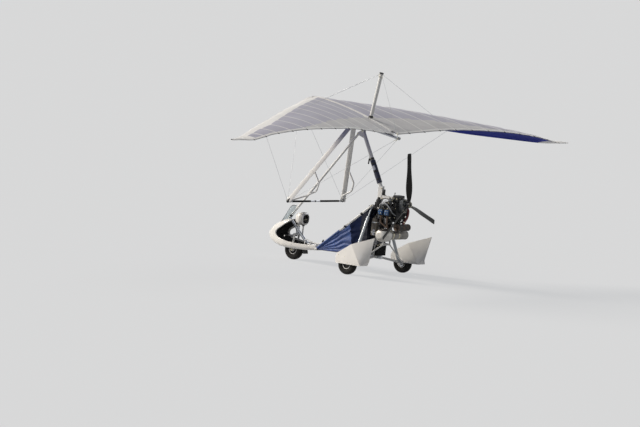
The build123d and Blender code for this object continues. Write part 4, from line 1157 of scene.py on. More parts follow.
for word, x, z, length, rise in seats["places"]:
    node = "seat_" + word.lower()
    cover = settle("seat" + word + "Cover", copyOf(node), "trike", "seatVinyl", 180, (node,))
    addModifier(cover, "REMESH", mode="VOXEL", voxel_size=seats["voxel"] / 1000)
    addModifier(cover, "DISPLACE", strength=-seats["shrink"] / 1000, mid_level=0.0)
    addModifier(cover, "SMOOTH", iterations=6)
    applyModifiers(cover)
    fillCover(cover)
    addModifier(cover, "SUBSURF", levels=1, render_levels=1)
    applyModifiers(cover)
    sewChannels(cover, x, z, length, rise)
    cover.data.shade_smooth()
    tree = surfaceOf(cover)
    top = z + seats["thick"]
    reach = seats["half"] - 17
    bm = bmesh.new()
    for loop, way in (
        ([(x + 92, -reach, 0), (x + length - 34, -reach, 0), (x + length - 17, -reach + 24, 0),
          (x + length - 17, reach - 24, 0), (x + length - 34, reach, 0), (x + 92, reach, 0)], -upward),
        ([(0, -reach, top + 34), (0, -reach, z + rise - 44), (0, -reach + 28, z + rise - 20),
          (0, reach - 28, z + rise - 20), (0, reach, z + rise - 44), (0, reach, top + 34)], -forward),
    ):
        route = smoothPath([Vector(p) for p in loop], 10)
        line = []
        for p in route:
            start = at(p.x, p.y, top + 200) if way[2] else at(x + 500, p.y, p.z)
            hit = laid(tree, start, Vector(way), 1.2)
            if hit:
                line.append(hit)
        addTube(bm, line, seats["pipingRadius"], 8)
    settle("seat" + word + "Piping", bm, "trike", "seatPiping", 60)
    # lap belt: two straps that come out of the crease and lie on the cushion, with buckle and adjusters
    straps = []
    for side, tag in ((1, "Left"), (-1, "Right")):
        bm = bmesh.new()
        route = smoothPath([Vector((x + ahead, side * y, 0)) for ahead, y in seats["beltRoute"]], 8)
        rows = []
        for k, p in enumerate(route):
            before, after = route[max(k - 1, 0)], route[min(k + 1, len(route) - 1)]
            run = (after - before).normalized()
            across = Vector((-run.y, run.x, 0))
            row = []
            for share in (-0.5, -0.17, 0.17, 0.5):
                q = p + across * share * seats["beltWidth"]
                hit = laid(tree, at(q.x, q.y, top + 200), -upward, 2.4)
                row.append(hit or at(q.x, q.y, top))
            rows.append(row)
        addSurface(bm, rows)
        strap = settle("lapBelt" + word + tag, bm, "trike", "webbing", 60)
        thicken(strap, seats["beltThick"], 1)
        straps.append(rows)
    bm = bmesh.new()
    ends = [rows[-1][1] for rows in straps]
    middle = (ends[0] + ends[1]) / 2 + upward * 0.009
    addPlate(bm, middle, port, upward, (62, 46, 13), 4, 0)
    addPlate(bm, middle + Vector((0, -0.012, 0.006)), port, upward, (18, 24, 4), 1.5, 1)
    addPlate(bm, middle + Vector((0, 0.034, -0.001)), port, upward, (16, 36, 3), 1, 2)
    for rows in straps:
        here = rows[len(rows) // 2]
        along = rows[len(rows) // 2 + 1][1] - rows[len(rows) // 2 - 1][1]
        across = here[3] - here[0]
        middle = (here[0] + here[3]) / 2 + upward * 0.005
        addPlate(bm, middle, along, along.cross(across), (24, 50, 4), 1, 2)
    settle("buckle" + word, bm, "trike", ("blackAbs", "redKnob", "zincPlate"), 38)
print("seats made")

# mast: the padded sleeve with its straps and a bare patch, and a black bracket with a white knob
mastValues = {
    "head": (540.0, 2380.0),
    "lean": math.radians(28.4),
    "sleeve": (1545.0, 1915.0),
    "radius": 47.0,
    "waist": 42.0,  # under the straps
    "straps": (0.16, 0.5, 0.84),
    "bracketZ": 1935.0,
}
mastLean = Vector((math.sin(mastValues["lean"]), 0, math.cos(mastValues["lean"])))


def onMast(z):
    x, headZ = mastValues["head"]
    return at(x - (headZ - z) * math.tan(mastValues["lean"]), 0, z)


low, high = (onMast(z) for z in mastValues["sleeve"])
sleeveLength = (high - low).length * 1000
bm = bmesh.new()
rings = []
for k in range(61):
    share = k / 60
    radius = mastValues["radius"] - 0.6
    for strap in mastValues["straps"]:
        radius -= (mastValues["radius"] - mastValues["waist"]) * math.exp(-((share - strap) / 0.045) ** 2)
    end = min(share, 1 - share) * sleeveLength
    radius -= 8.5 * max(1 - end / 12, 0) ** 2
    centre = low.lerp(high, share)
    ring = []
    for j, point in enumerate(circle(centre, mastLean, radius, 40, port)):
        out = (point - centre).normalized()
        crease = noise.noise(Vector((point.x * 34, point.y * 34, point.z * 20))) * 1.2
        seam = -2.2 if j == 30 else 0.0
        ring.append(point + out * (crease + seam) / 1000)
    rings.append(ring)
addRings(bm, rings)
sleeve = settle("mastSleeve", bm, "trike", "navyNylon", 60, ("mast_pad",))
bm = bmesh.new()
for share in mastValues["straps"]:
    centre = low.lerp(high, share)
    addLathe(bm, centre - mastLean * 0.014, mastLean,
             ((0, 41.5), (1, 44.6), (27, 44.6), (28, 41.5)), 40, 0)
    addPlate(bm, centre + port * 0.0455, mastLean, port, (32, 30, 3.5), 1, 1)
# the pale patch on the sleeve's port side
ahead = mastLean.cross(-port).normalized()
patch = low.lerp(high, 0.655)
rows = []
for k in range(7):
    row = []
    for j in range(9):
        angle = math.radians(mix(52, 128, j / 8))
        out = port * math.sin(angle) - ahead * math.cos(angle)
        row.append(patch + mastLean * mix(-0.038, 0.038, k / 6) + out * 0.0481)
    rows.append(row)
addSurface(bm, rows, 2)
settle("mastStraps", bm, "trike", ("webbing", "blackAbs", "paleNylon"), 50)
bm = bmesh.new()
clamp = onMast(mastValues["bracketZ"])
addLathe(bm, clamp - mastLean * 0.016, mastLean, ((0, 33), (0.5, 38), (31, 38), (32, 33)), 32, 0)
addPlate(bm, clamp + ahead * 0.056, ahead, port, (48, 26, 16), 3, 0)
lever = clamp + ahead * 0.074
addPlate(bm, lever + Vector((-0.004, 0, -0.012)), (-0.1, 0, 1), port, (104, 20, 18), 5, 0)
knob = lever + Vector((-0.006, 0, 0.048))
addLathe(bm, knob, upward, ((0, 5), (6, 5), (8, 9), (16, 11), (23, 9), (26, 3)), 18, 1)
addBolt(bm, clamp + port * 0.038, port, 9, 2)
settle("mastBracket", bm, "trike", ("blackAbs", "powderCoatedTube", "zincPlate"), 38)
print("mast fittings made")

# cloth panels from the brace to the beam, drawn in folds, with a curtain behind the rear seat
panels = {
    # x and z of its four corners
    "front": (1068.0, 268.0),
    "rear": (45.0, 300.0),
    "head": (94.0, 1116.0),
    "toe": (1068.0, 295.0),
    "y": 246.0,
    "foldDepth": 9.0,
    "foldDegrees": 7.2,
    "foldFrom": (1120.0, 236.0),
    # where the painted shade starts, in x: the half shade behind the first, the full shade behind the second
    "darkFrom": (375.0, 215.0),
    "paintedShadeLean": 230.0,  # the painted shade reaches further forward higher up, mm for each metre
    "curtainInner": (48.0, 30.0),  # x and y of the curtain's inner edge
    "curtainRise": (345.0, 1095.0),
    "clothThickness": 2.0,
    "brace": ((30.0, 250.0, 1170.0), (1100.0, 250.0, 268.0)),
    "sleeveFrom": 0.57,
    "bareFrom": 650.0,  # behind this the tube shows, and the cloth hangs below it
    "tubeDrop": 24.0,
    "collars": (0.182, 0.471),
}


def panelFold(x, z, share):
    # folds run back and up from the front corner, deepest in the royal part
    fromX, fromZ = panels["foldFrom"]
    away = math.hypot(fromX - x, z - fromZ)
    angle = math.degrees(math.atan2(z - fromZ, fromX - x))
    depth = min(panels["foldDepth"], away * 0.022)
    fade = min(max((x - panels["darkFrom"][0] + 150) / 150, 0.3), 1)
    edge = min(1.0, 5 * share, 5 * (1 - share))
    wander = noise.noise(Vector((x * 0.004, z * 0.006, 3.0))) * 2.2
    wave = math.sin((angle / panels["foldDegrees"] + wander * 0.35) * 2 * math.pi)
    small = noise.noise(Vector((x * 0.02, z * 0.03, 7.0))) * 1.6
    return (depth * (abs(wave) ** 0.7 * math.copysign(1, wave)) + small) * fade * edge


def panelCloth(name, side):
    bm = bmesh.new()
    columns = [(k / 70, 0.0) for k in range(71)] + [(1.0, k / 14) for k in range(1, 15)]
    corners = list(zip(*(panels[key] for key in ("front", "rear", "toe", "head"))))
    grid = []
    for along, turned in columns:
        column = []
        for j in range(41):
            rise = j / 40
            x, z = (mix(mix(front, rear, along), mix(toe, head, along), rise)
                    for front, rear, toe, head in corners)
            z -= rise * panels["tubeDrop"] * min(max((panels["bareFrom"] - x) / 60, 0), 1)
            y = panels["y"] + panelFold(x, z, rise)
            if turned:
                # behind the seat the cloth turns in to the pylon
                bend = turned ** 0.8
                low, high = panels["curtainRise"]
                z = mix(mix(panels["rear"][1], low, turned), mix(panels["head"][1], high, turned), rise)
                x = mix(x, panels["curtainInner"][0], bend) + 9 * math.sin(math.pi * turned)
                y = mix(y, panels["curtainInner"][1], turned)
            column.append(bm.verts.new(at(x, side * y, z)))
        grid.append(column)
    for a, b in zip(grid, grid[1:]):
        for j in range(40):
            face = bm.faces.new((a[j], a[j + 1], b[j + 1], b[j]))
            middle = face.calc_center_median()
            # towards the rear the cloth takes painted shade: the deep cloth behind a line that leans forward
            # as it rises, the dark cloth behind that
            if j == 0:
                face.material_index = 2
            elif middle.x < at(panels["darkFrom"][1], 0, 0).x:
                face.material_index = 1
            elif middle.x < at(panels["darkFrom"][0] + panels["paintedShadeLean"] * (middle.z - 0.5), 0, 0).x:
                face.material_index = 3
    piece = settle(name, bm, "trike", ("royalNylon", "nylonPaintedShade", "navyNylon", "nylonPaintedHalfShade"), 60)
    thicken(piece, panels["clothThickness"])
    return piece


for side, word in ((1, "left"), (-1, "right")):
    cloth = panelCloth(word + "PanelCloth", side)
    braceTop, braceFoot = mirrored(panels["brace"], side)
    bm = bmesh.new()
    line = [braceTop.lerp(braceFoot, mix(panels["sleeveFrom"], 0.972, k / 40)) for k in range(41)]
    radii = [17.4 + 0.9 * noise.noise(Vector((k * 0.5, side, 0))) for k in range(41)]
    addTube(bm, line, radii, 20, 0)
    # the seam below the tube, and a rope in the lower hem
    seam = [p + Vector((-0.012, -side * 0.004, -0.014)) for p in line]
    addTube(bm, seam, 2.4, 6, 1)
    hemEnds = mirrored([(x, panels["y"], z) for x, z in (panels["front"], panels["rear"])], side)
    hem = [hemEnds[0].lerp(hemEnds[1], k / 30) for k in range(31)]
    addTube(bm, hem, 4.5, 8, 1)
    trim = settle(word + "PanelTrim", bm, "trike", ("royalNylon", "navyNylon"), 60)
    if side > 0:
        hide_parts("side_panels")
    bm = bmesh.new()
    lean = (braceFoot - braceTop).normalized()
    for share in panels["collars"]:
        addLathe(bm, braceTop.lerp(braceFoot, share) - lean * 0.02, lean,
                 ((0, 15), (1, 18.5), (39, 18.5), (40, 15)), 24, 0)
    for share in (0.0, 0.012):
        addBolt(bm, braceTop.lerp(braceFoot, share) + port * (side * 0.0165), port * side, 11, 1)
    settle(word + "BraceCollars", bm, "trike", ("hoseRubber", "zincPlate"), 38)
print("side panels made")

# keel pocket: the ridge of cloth between the two sails, open round the kingpost, and the nose cap
pocket = {
    "from": 0.012,
    "to": 0.955,
    "steps": 72,
    "clothThickness": 1.6,
    "postX": 447.0,
    "postHole": 37.0,  # radius of the opening round the kingpost
    "capHalf": 168.0,
    "capUpper": 0.115,
    "capLower": 0.07,
    "capLift": 4.5,
}


def pocketRing(share):
    # section of the ridge, from one wall's foot over the top to the other's
    crown = sailPoint(1, 40, share, False, keel["pocketRise"])
    low = onKeel(crown.x * 1000 - axleX, keel["radius"] + 1.2)
    top = crown.z
    foot = min((low.z + 2) / 1000, top - 0.012)
    half = keel["pocketHalf"]
    outline = ((half, foot), (half, mix(foot, top - 0.0135, 0.5)), (half, top - 0.0135),
               (half * 0.82, top - 0.0065), (half * 0.5, top - 0.002), (half * 0.12, top),
               (half * 0.06, top - 0.0012), (0, top - 0.0022))
    ring = [Vector((crown.x, y / 1000, z)) for y, z in outline]
    ring += [Vector((crown.x, -y / 1000, z)) for y, z in reversed(outline[:-1])]
    return ring


bm = bmesh.new()
steps = pocket["steps"]
rings = [pocketRing(mix(pocket["from"], pocket["to"], k / steps)) for k in range(steps + 1)]
addRings(bm, rings, caps=False)
postFoot = onKeel(pocket["postX"])
for face in list(bm.faces):
    middle = face.calc_center_median()
    share = (middle.z * 1000 - postFoot.z) / keelUp.z
    axis = at(postFoot.x + keelUp.x * share, 0, postFoot.z + share)
    if math.hypot(middle.x - axis.x, middle.y) < pocket["postHole"] / 1000:
        bm.faces.remove(face)
for vert in [v for v in bm.verts if not v.link_faces]:
    bm.verts.remove(vert)
ridge = settle("keelPocketCloth", bm, "wing", "whiteSailcloth", 50, ("keel_pocket",))
thicken(ridge, pocket["clothThickness"], -1)
bm = bmesh.new()
for edge, way in ((-3, 1), (2, -1)):
    addTube(bm, [ring[edge] + Vector((0, way * 0.002, 0.002)) for ring in rings], 1.6, 6)
settle("keelPocketSeams", bm, "wing", "whiteSailcloth", 60)

bm = bmesh.new()
rows = []
for k in range(33):
    y = mix(-pocket["capHalf"], pocket["capHalf"], k / 32)
    narrow = 1 - 0.45 * (abs(y) / pocket["capHalf"]) ** 2
    # over the ridge between the sails the cap stands higher
    over = pocket["capLift"] + 1.5 * max(1 - abs(y) / 60, 0)
    row = [sailPoint(1, y, mix(pocket["capLower"] * narrow, 0, j / 3), True, over) for j in range(3)]
    row += [sailPoint(1, y, -1 + j / 8, False, over) for j in range(8)]
    for j in range(11):
        share = pocket["capUpper"] * narrow * j / 10
        extra = keel["pocketRise"] * max(1 - (abs(y) / 62) ** 2, 0) * min(share / 0.03, 1)
        row.append(sailPoint(1, y, share, False, over + extra))
    rows.append(row)
addSurface(bm, rows)
cap = settle("noseCap", bm, "wing", "whiteSailcloth", 60)
thicken(cap, pocket["clothThickness"], -1)
print("pocket and nose cap made")

# kingpost: black cap and boot and the bolts at its head; keel plug; knuckle bolts
post = {
    "x": pocket["postX"],
    "height": 960.0,
    "bootRise": 206.0,
}
bm = bmesh.new()
head = at(*onKeel(post["x"], post["height"]))
addLathe(bm, head, keelUp, ((-3, 34), (-2, 37), (15, 37), (17.5, 35.5)), 32, 0)
kingpost = nodes["kingpost"]
kingpost.data.materials.append(materials["blackAbs"])
for polygon in kingpost.data.polygons:
    if (polygon.center - head).dot(keelUp) > 0.001:
        polygon.material_index = 1
addAcross(bm, head - keelUp * 0.052, 0.034, 11, 1)
addBolt(bm, head - keelUp * 0.052 + keelLean * 0.034, keelLean, 11, 1)
boot = at(*onKeel(post["x"], post["bootRise"]))
addLathe(bm, boot, keelUp, ((-24, 41), (-14, 41), (-8, 39), (-4, 34), (4, 33.4), (9, 33), (12, 31.6)), 32, 2)
settle("kingpostFittings", bm, "wing", ("blackAbs", "zincPlate", "hoseRubber"), 38)

# a sleeve and an eye at every wire's end
wireEnds = {
    "sleeveRadius": 4.2,
    "sleeveLength": 34.0,
    "offset": 52.0,
    "junction": (640.0, 2800.0, 2425.0),
}
corners = {side: at(baseBar["x"], side * baseBar["half"], baseBar["z"]) for side in (-1, 1)}
noseEye = at(*keel["nose"])
tailEye = at(*keel["tail"])
frontEye = at(*onKeel(1700.0, 60.0))
junctions = {side: mirrored([wireEnds["junction"]], side)[0] for side in (-1, 1)}
bm = bmesh.new()


def addSwage(start, end, offset):
    way = (end - start).normalized()
    place = start + way * offset / 1000
    radius = wireEnds["sleeveRadius"]
    reach = wireEnds["sleeveLength"]
    addLathe(bm, place, way, ((0, 2.4), (2, radius), (reach - 2, radius), (reach, 2.4)), 10, 0)
    # the thimble's eye, a flat loop between the sleeve and its bolt
    side = way.orthogonal().normalized()
    middle = place - way * 0.014
    loop = [middle + way * 0.013 * math.cos(a) + side * 0.007 * math.sin(a)
            for a in [2 * math.pi * k / 16 for k in range(16)]]
    addTube(bm, loop, 1.8, 6, 0, loop=True)


for side in (-1, 1):
    for end in (noseEye, tailEye, junctions[side]):
        addSwage(corners[side], end, wireEnds["offset"] + 8)
    addSwage(head, junctions[side], wireEnds["offset"])
    addSwage(noseEye, corners[side], 72)
    addSwage(tailEye, corners[side], 66)
addSwage(head, frontEye, wireEnds["offset"])
addSwage(head, tailEye, wireEnds["offset"])
addSwage(tailEye, head, 66)
settle("wireSwages", bm, "wing", "zincPlate", 50)

bm = bmesh.new()
tail = tailEye - keelLean * 0.0295
addLathe(bm, tail, keelLean, ((-1, 12), (0, 24.6), (0.4, 24.8)), 28, 0)
addLathe(bm, tail + keelLean * 0.012, keelLean, ((0, 25), (0.5, 28), (11, 28), (12, 25)), 28, 1)
for way in (-1, 1):
    out = port * way
    addLathe(bm, tailEye + out * 0.025, out, ((0, 9), (3, 9), (3.2, 6), (9, 6)), 12, 2)
    addLathe(bm, onMast(mastValues["head"][1]) + out * 0.0332, out, ((0, 15), (2.2, 15)), 20, 2)
addAcross(bm, at(*onKeel(apex["x"], apex["drop"])), 0.0752, 17, 2)
for rise in (-4, -38):
    addAcross(bm, at(*onKeel(apex["x"], rise)) + keelLean * 0.012, 0.0258, 9, 2)
settle("keelFittings", bm, "wing", ("blackAbs", "blackAnodised", "zincPlate"), 38)
print("wing fittings made")

# propeller: the hub's two halves with the plates, bolts and the clamp ring round each blade's root
propeller = {
    "x": -555.0,
    "z": 1257.0,
    "hubRear": -584.5,
    "firstBlade": 10.0,
    "boltCircle": 36.0,
}
bm = bmesh.new()
hubRear = at(propeller["hubRear"], 0, propeller["z"])
addLathe(bm, hubRear, forward, ((-1, 20), (0, 46), (0.5, 50), (3, 52), (26, 52), (28.5, 50.5), (29.5, 47),
                                  (30.5, 50.5), (33, 52), (58, 52), (61, 49), (63, 40)), 56, 0)
addLathe(bm, hubRear, -forward, ((-1, 27), (2, 27), (3.5, 25), (4, 12), (8, 11), (8.2, 4)), 32, 0)
for spot in circle(hubRear + forward * 0.0015, forward, propeller["boltCircle"], 6, (0, 3 ** 0.5, 1)):
    addBolt(bm, spot, -forward, 10, 1)
for k in range(3):
    angle = math.radians(propeller["firstBlade"] + 120 * k)
    out = Vector((0, math.sin(angle), math.cos(angle)))
    across = Vector((0, math.cos(angle), -math.sin(angle)))
    for way in (-1, 1):
        place = hubRear + forward * 0.001 + out * 0.0425 + across * 0.014 * way
        addBolt(bm, place, -forward, 7, 1)
    root = at(propeller["x"], 0, propeller["z"]) + out * 0.0525
    addLathe(bm, root, out, ((0, 27), (4, 27), (6, 25), (10, 24.4), (12, 22)), 28, 0)
settle("hubBody", bm, "propeller", ("blackAnodised", "zincPlate"), 38, ("prop_hub",))

# engine: every fitting is on the trike; places are in millimetres from the rear axle
engine = {
    "cylinders": (-180.0, -305.0),
    "crankZ": 1090.0,
    "coverFace": 296.0,
    "discProfile": ((0, 37), (6, 37), (9, 34), (10, 27), (8, 25), (8, 12), (11, 10), (11, 2)),
    "discBolts": 31,  # radius of their circle
}
bm = bmesh.new()
for side in (-1, 1):
    for x in engine["cylinders"]:
        face = at(x, side * engine["coverFace"], engine["crankZ"])
        addLathe(bm, face - port * (side * 0.004), port * side, engine["discProfile"], 36, 0)
        for spot in circle(face + port * (side * 0.0045), port, engine["discBolts"], 4, (1, 0, 1)):
            addBolt(bm, spot, port * side, 7, 1)
settle("coverDiscs", bm, "trike", ("shadeDeepenedPaleEnamel", "zincPlate"), 38)

# ignition: plugs above the heads, their caps and leads, the coil block, and a ribbed regulator
ignition = {
    "plugs": (-28, 28),  # either side of the cylinder's middle
    "plugY": 228,
    "plugZ": 1149,
    "plugProfile": ((-2, 9), (6, 9), (6.5, 6), (12, 6)),
    "capProfile": ((0, 6), (1, 9.5), (22, 9.5), (24, 7.5), (38, 6.5), (40, 4.5)),
    "capLean": 0.25,
    "coilX": -135,
    "coilY": 42,
    "coilZ": 1244,
    "rearShift": -16.2,  # the rear cylinders' leads end further back and hang lower
    "rearDrop": -0.018,
    "leadRadius": 4.0,
    "union": (268, 1119),
    "unionProfile": ((0, 11), (9, 11), (10, 8)),
    "coilBlock": ((-169, -66, 1196), (-101, 66, 1244)),
    "coilBolts": ((-107, -163), (-44, 0, 44)),
    "regulator": ((-84, -52, 1110), (-62, 38, 1176)),
    "regulatorFin": ((-62.5, -48, 1114), (-52, -44, 1172)),
}
bm = bmesh.new()
for side in (-1, 1):
    for x, rear in zip(engine["cylinders"], (0, 1)):
        for shift in ignition["plugs"]:
            plug = at(x + shift, side * ignition["plugY"], ignition["plugZ"])
            addLathe(bm, plug, upward, ignition["plugProfile"], 6, 1)
            lean = Vector((0, -side * ignition["capLean"], 1)).normalized()
            cap = plug + upward * 0.008
            addLathe(bm, cap, lean, ignition["capProfile"], 14, 0)
            start = cap + lean * 0.038
            coilX = ignition["coilX"] + shift * 0.5 + ignition["rearShift"] * rear
            coil = at(coilX, side * ignition["coilY"], ignition["coilZ"])
            middle = start.lerp(coil, 0.5) + Vector((0, side * 0.010, 0.026 + ignition["rearDrop"] * rear))
            route = (start, start + lean * 0.02, middle, coil + upward * 0.012, coil)
            addTube(bm, smoothPath(route, 8), ignition["leadRadius"], 8, 0)
        unionY, unionZ = ignition["union"]
        addLathe(bm, at(x, side * unionY, unionZ), port * side, ignition["unionProfile"], 6, 1)
low, high = ignition["coilBlock"]
addBlock(bm, at(*low), at(*high), 5, 0)
for x in ignition["coilBolts"][0]:
    for y in ignition["coilBolts"][1]:
        addBolt(bm, at(x, y, ignition["coilZ"]), upward, 8, 1)
low, high = ignition["regulator"]
addBlock(bm, at(*low), at(*high), 4, 2)
addFins(bm, ignition["regulatorFin"], (0, 11, 0), 8, 1, 2)
settle("ignition", bm, "trike", ("blackAbs", "zincPlate", "castAlloy"), 38)

# carburettors: bore, bowl and dome on each intake branch, rubber sockets, throttle cable and fuel line
carburettor = {
    "branch": ((-250, 243, 1214), (-297, 85, 1325)),
    # where each turned part starts along the branch, its profile and its finish
    "along": (
        (-0.058, ((0, 14), (2, 19), (22, 19), (24, 24), (30, 24)), 1),
        (-0.028, ((0, 27), (50, 27), (52, 22)), 0),
        (0.024, ((0, 21), (3, 23), (30, 23), (33, 14)), 1),
        (-0.05, ((0, 24.5), (6, 24.5)), 2),
        (0.034, ((0, 24.5), (6, 24.5)), 2),
    ),
    "bowl": ((0, 25), (26, 25), (32, 22), (36, 12), (46, 10), (47, 4)),
    "dome": ((0, 28), (8, 31), (13, 31), (20, 28), (34, 18), (42, 8), (50, 5)),
    "domeBolts": 28,  # radius of their circle
    "cable": ((-205, 118, 1300), (-90, 66, 1262), (-20, 40, 1190), (18, 27, 1120)),
    "fuelLine": ((-150, 128, 1216), (-95, 88, 1205), (-50, 60, 1120), (-25, 45, 980), (10, 29, 800)),
}
bm = bmesh.new()
for side in (-1, 1):
    low, high = mirrored(carburettor["branch"], side)
    way = (high - low).normalized()
    middle = low.lerp(high, 0.5)
    for shift, profile, finish in carburettor["along"]:
        addLathe(bm, middle + way * shift, way, profile, 24, finish)
    bowl = middle + Vector((0, side * 0.004, -0.018))
    addLathe(bm, bowl, -upward, carburettor["bowl"], 24, 0)
    dome = middle + Vector((0, side * 0.006, 0.018))
    addLathe(bm, dome, upward, carburettor["dome"], 28, 0)
    for spot in circle(dome + upward * 0.013, upward, carburettor["domeBolts"], 4, (1, 1, 0)):
        addBolt(bm, spot, upward, 5, 2)
    start = dome + upward * 0.048
    cable = [start, start + Vector((0.01, 0, 0.018))] + mirrored(carburettor["cable"], side)
    addTube(bm, smoothPath(cable, 8), 3.2, 8, 1)
    line = [bowl + Vector((0.022, 0, -0.014)), bowl + Vector((0.05, -side * 0.01, -0.01))]
    addTube(bm, smoothPath(line + mirrored(carburettor["fuelLine"], side), 8), 4, 8, 3)
settle("carburettors", bm, "trike", ("castAlloy", "hoseRubber", "zincPlate", "redSilicone"), 38)

# below and ahead of the crankcase: oil filter, starter, sump and pump; pushrod tubes; the gearbox's bolts
ancillaries = {
    # place, the way it points, profile, sides and finish
    "turned": {
        "filter": ((-86, 78, 1046), forward, ((0, 30), (4, 37), (62, 37), (70, 33), (72, 12)), 36, 0),
        "starter": ((-86, -72, 1058), forward,
                    ((0, 36), (12, 36), (14, 31), (70, 31), (74, 26), (76, 8)), 36, 1),
        "pump": ((-392, 0, 1052), -upward, ((0, 40), (86, 40), (94, 34), (96, 10)), 28, 1),
    },
    "filterRibs": ((-24, 78, 1046), 37.2, 12),
    "sump": ((-372, -86, 938), (-212, 86, 986)),
    "sumpFin": ((-366, -80, 928), (-361, 80, 942)),
    "gearBolts": 10,
    "gearFace": (-478, 0, 1219),
    "gearHalf": (66, 104),
    "caseBolts": ((-372, 131, 1012, 12), (-372, 131, 1168, 12), (-122, 131, 1012, 12), (-122, 131, 1168, 12)),
    "pushrods": (-20, 20),
}
bm = bmesh.new()
for place, axis, profile, sides, finish in ancillaries["turned"].values():
    addLathe(bm, at(*place), axis, profile, sides, finish)
place, radius, count = ancillaries["filterRibs"]
for spot in circle(at(*place), forward, radius, count, port):
    addPlate(bm, spot, forward, spot - at(*place), (10, 8, 2), 0.6, 0, 1)
low, high = ancillaries["sump"]
addBlock(bm, at(*low), at(*high), 10, 1)
addFins(bm, ancillaries["sumpFin"], (23, 0, 0), 7, 1.5, 1)
for k in range(ancillaries["gearBolts"]):
    angle = 2 * math.pi * k / ancillaries["gearBolts"]
    halfY, halfZ = ancillaries["gearHalf"]
    spot = at(*ancillaries["gearFace"]) + Vector((0, math.cos(angle) * halfY, math.sin(angle) * halfZ)) / 1000
    addBolt(bm, spot, -forward, 9, 2)
for side in (-1, 1):
    for k in range(5):
        addPlate(bm, at(-444, side * 80.5, 1145 + 38 * k), forward, port * side, (58, 5, 5), 1.5, 3, 1)
    for x in engine["cylinders"]:
        for shift in ancillaries["pushrods"]:
            addTube(bm, [at(x + shift, side * 118, 1012), at(x + shift, side * 222, 1036)], 8, 12, 4)
addBoltPairs(bm, ancillaries["caseBolts"], 2)
settle("engineAncillaries", bm, "trike",
       ("blackAbs", "darkCasting", "zincPlate", "castAlloy", "blackAnodised"), 38)

# hoses: red intake hose to starboard, grey hose above the port covers, coolant, breather and pressure lines
hoses = {
    "intake": ((-442, -60, 1212), (-438, -112, 1196), (-446, -160, 1132), (-450, -142, 1030),
               (-440, -88, 950), (-434, -66, 896)),
    "coolant": (
        ((-150, 236, 1034), (-136, 214, 990), (-126, 150, 930), (-122, 112, 800), (-110, 104, 640),
         (-74, 96, 540), (-72, 96, 486)),
        ((-330, 236, 1034), (-346, 212, 980), (-330, 150, 918), (-240, 120, 884), (-160, 92, 820),
         (-146, 84, 660), (-80, 40, 560), (-72, 40, 486)),
    ),
    "grey": ((-128, 236, 1152), (-146, 262, 1212), (-200, 268, 1238), (-270, 266, 1234), (-340, 262, 1176),
             (-384, 232, 1100), (-392, 128, 1050)),
    "oilLines": (
        ((-50, 205, 982), (-52, 205, 1010), (-80, 190, 1040), (-104, 132, 1050)),
        ((-50, 160, 690), (-60, 128, 690), (-110, 90, 760), (-170, 60, 930)),
    ),
}


def addClips(line, places, length, radius, sides):
    for k in places:
        way = (line[k + 1] - line[k - 1]).normalized()
        addLathe(bm, line[k] - way * length / 2000, way, ((0, radius), (length, radius)), sides, 3)


bm = bmesh.new()
line = smoothPath(mirrored(hoses["intake"], 1), 10)
addTube(bm, line, 23, 20, 0)
addClips(line, (3, len(line) - 9), 12, 24.6, 24)
for side in (-1, 1):
    for route in hoses["coolant"]:
        line = smoothPath(mirrored(route, side), 8)
        addTube(bm, line, 13.5, 16, 2)
        addClips(line, (4, len(line) - 4), 10, 14.8, 18)
addHose(bm, hoses["grey"], 9.5, 14, 1, 10)
for route in hoses["oilLines"]:
    addHose(bm, route, 9, 12, 2)
settle("engineHoses", bm, "trike", ("redSilicone", "greyHose", "hoseRubber", "zincPlate"), 60)

# exhaust: weld beads, clamping bands, tail pipe, and the ball joints with their springs
exhaust = {
    "x": -320.0,
    "z": 705.0,
    "beads": ((217, 108.4), (386, 108.4), (-322, 76.3), (-150, 76.3), (60, 76.3)),  # y and radius
    "bands": (-60, 110),
    "rear": (-430.0, 850.0),  # x and z of the silencer behind the engine
    "rearBeads": (-226, -20, 126),
    "pipes": (-308.0, -328.0),
    "pipeY": 243.0,
    "jointZ": 822.0,
    "springRadius": 0.005,  # this and the next in metres
    "springLength": 0.040,
    "springTurns": 9,
    "darkFrom": 0.787,  # above this, in metres, the silencer behind the engine starts, which runs hotter
    "shadeDulledTo": 0.19,  # the barrel's end at the bulb, in metres; the barrel's grey is painted shade
}
bm = bmesh.new()
for y, radius in exhaust["beads"]:
    loop = circle(at(exhaust["x"], y, exhaust["z"]), port, radius, 64)
    addTube(bm, loop, 1.8, 6, 0, loop=True)
for y in exhaust["bands"]:
    addLathe(bm, at(exhaust["x"], y - 10, exhaust["z"]), port,
             ((0, 76.2), (0.5, 78.4), (19.5, 78.4), (20, 76.2)), 56, 1)
    addBolt(bm, at(exhaust["x"] - 79, y, exhaust["z"]), -forward, 10, 1)
for y in exhaust["rearBeads"]:
    loop = circle(at(exhaust["rear"][0], y, exhaust["rear"][1]), port, 58.3, 48)
    addTube(bm, loop, 1.6, 6, 2, loop=True)
addHose(bm, ((-430, 118, 850), (-432, 148, 846), (-446, 168, 826), (-468, 174, 800)), 21, 20, 2, 6)
for side in (-1, 1):
    for x in exhaust["pipes"]:
        joint = at(x, side * exhaust["pipeY"], exhaust["jointZ"])
        addLathe(bm, joint, -upward, ((-6, 16), (-4, 20.5), (6, 21.5), (8, 16.2)), 24, 2)
        for way in (-1, 1):
            top = joint + Vector((0, way * 0.027, exhaust["springLength"] / 2 - 0.012))
            steps = exhaust["springTurns"] * 8
            radius = exhaust["springRadius"]
            coil = []
            for k in range(steps + 1):
                angle = 2 * math.pi * k / 8
                drop = exhaust["springLength"] * k / steps
                coil.append(top + Vector((math.cos(angle) * radius, math.sin(angle) * radius, -drop)))
            addTube(bm, coil, 1.3, 5, 3)
settle("exhaustFittings", bm, "trike", ("shadeDulledSteel", "zincPlate", "heatTintedSteel", "anodisedAlloy"), 38)
silencers = nodes["silencers"]
silencers.data.materials.append(materials["darkOxideSteel"])
silencers.data.materials.append(materials["shadeDulledSteel"])
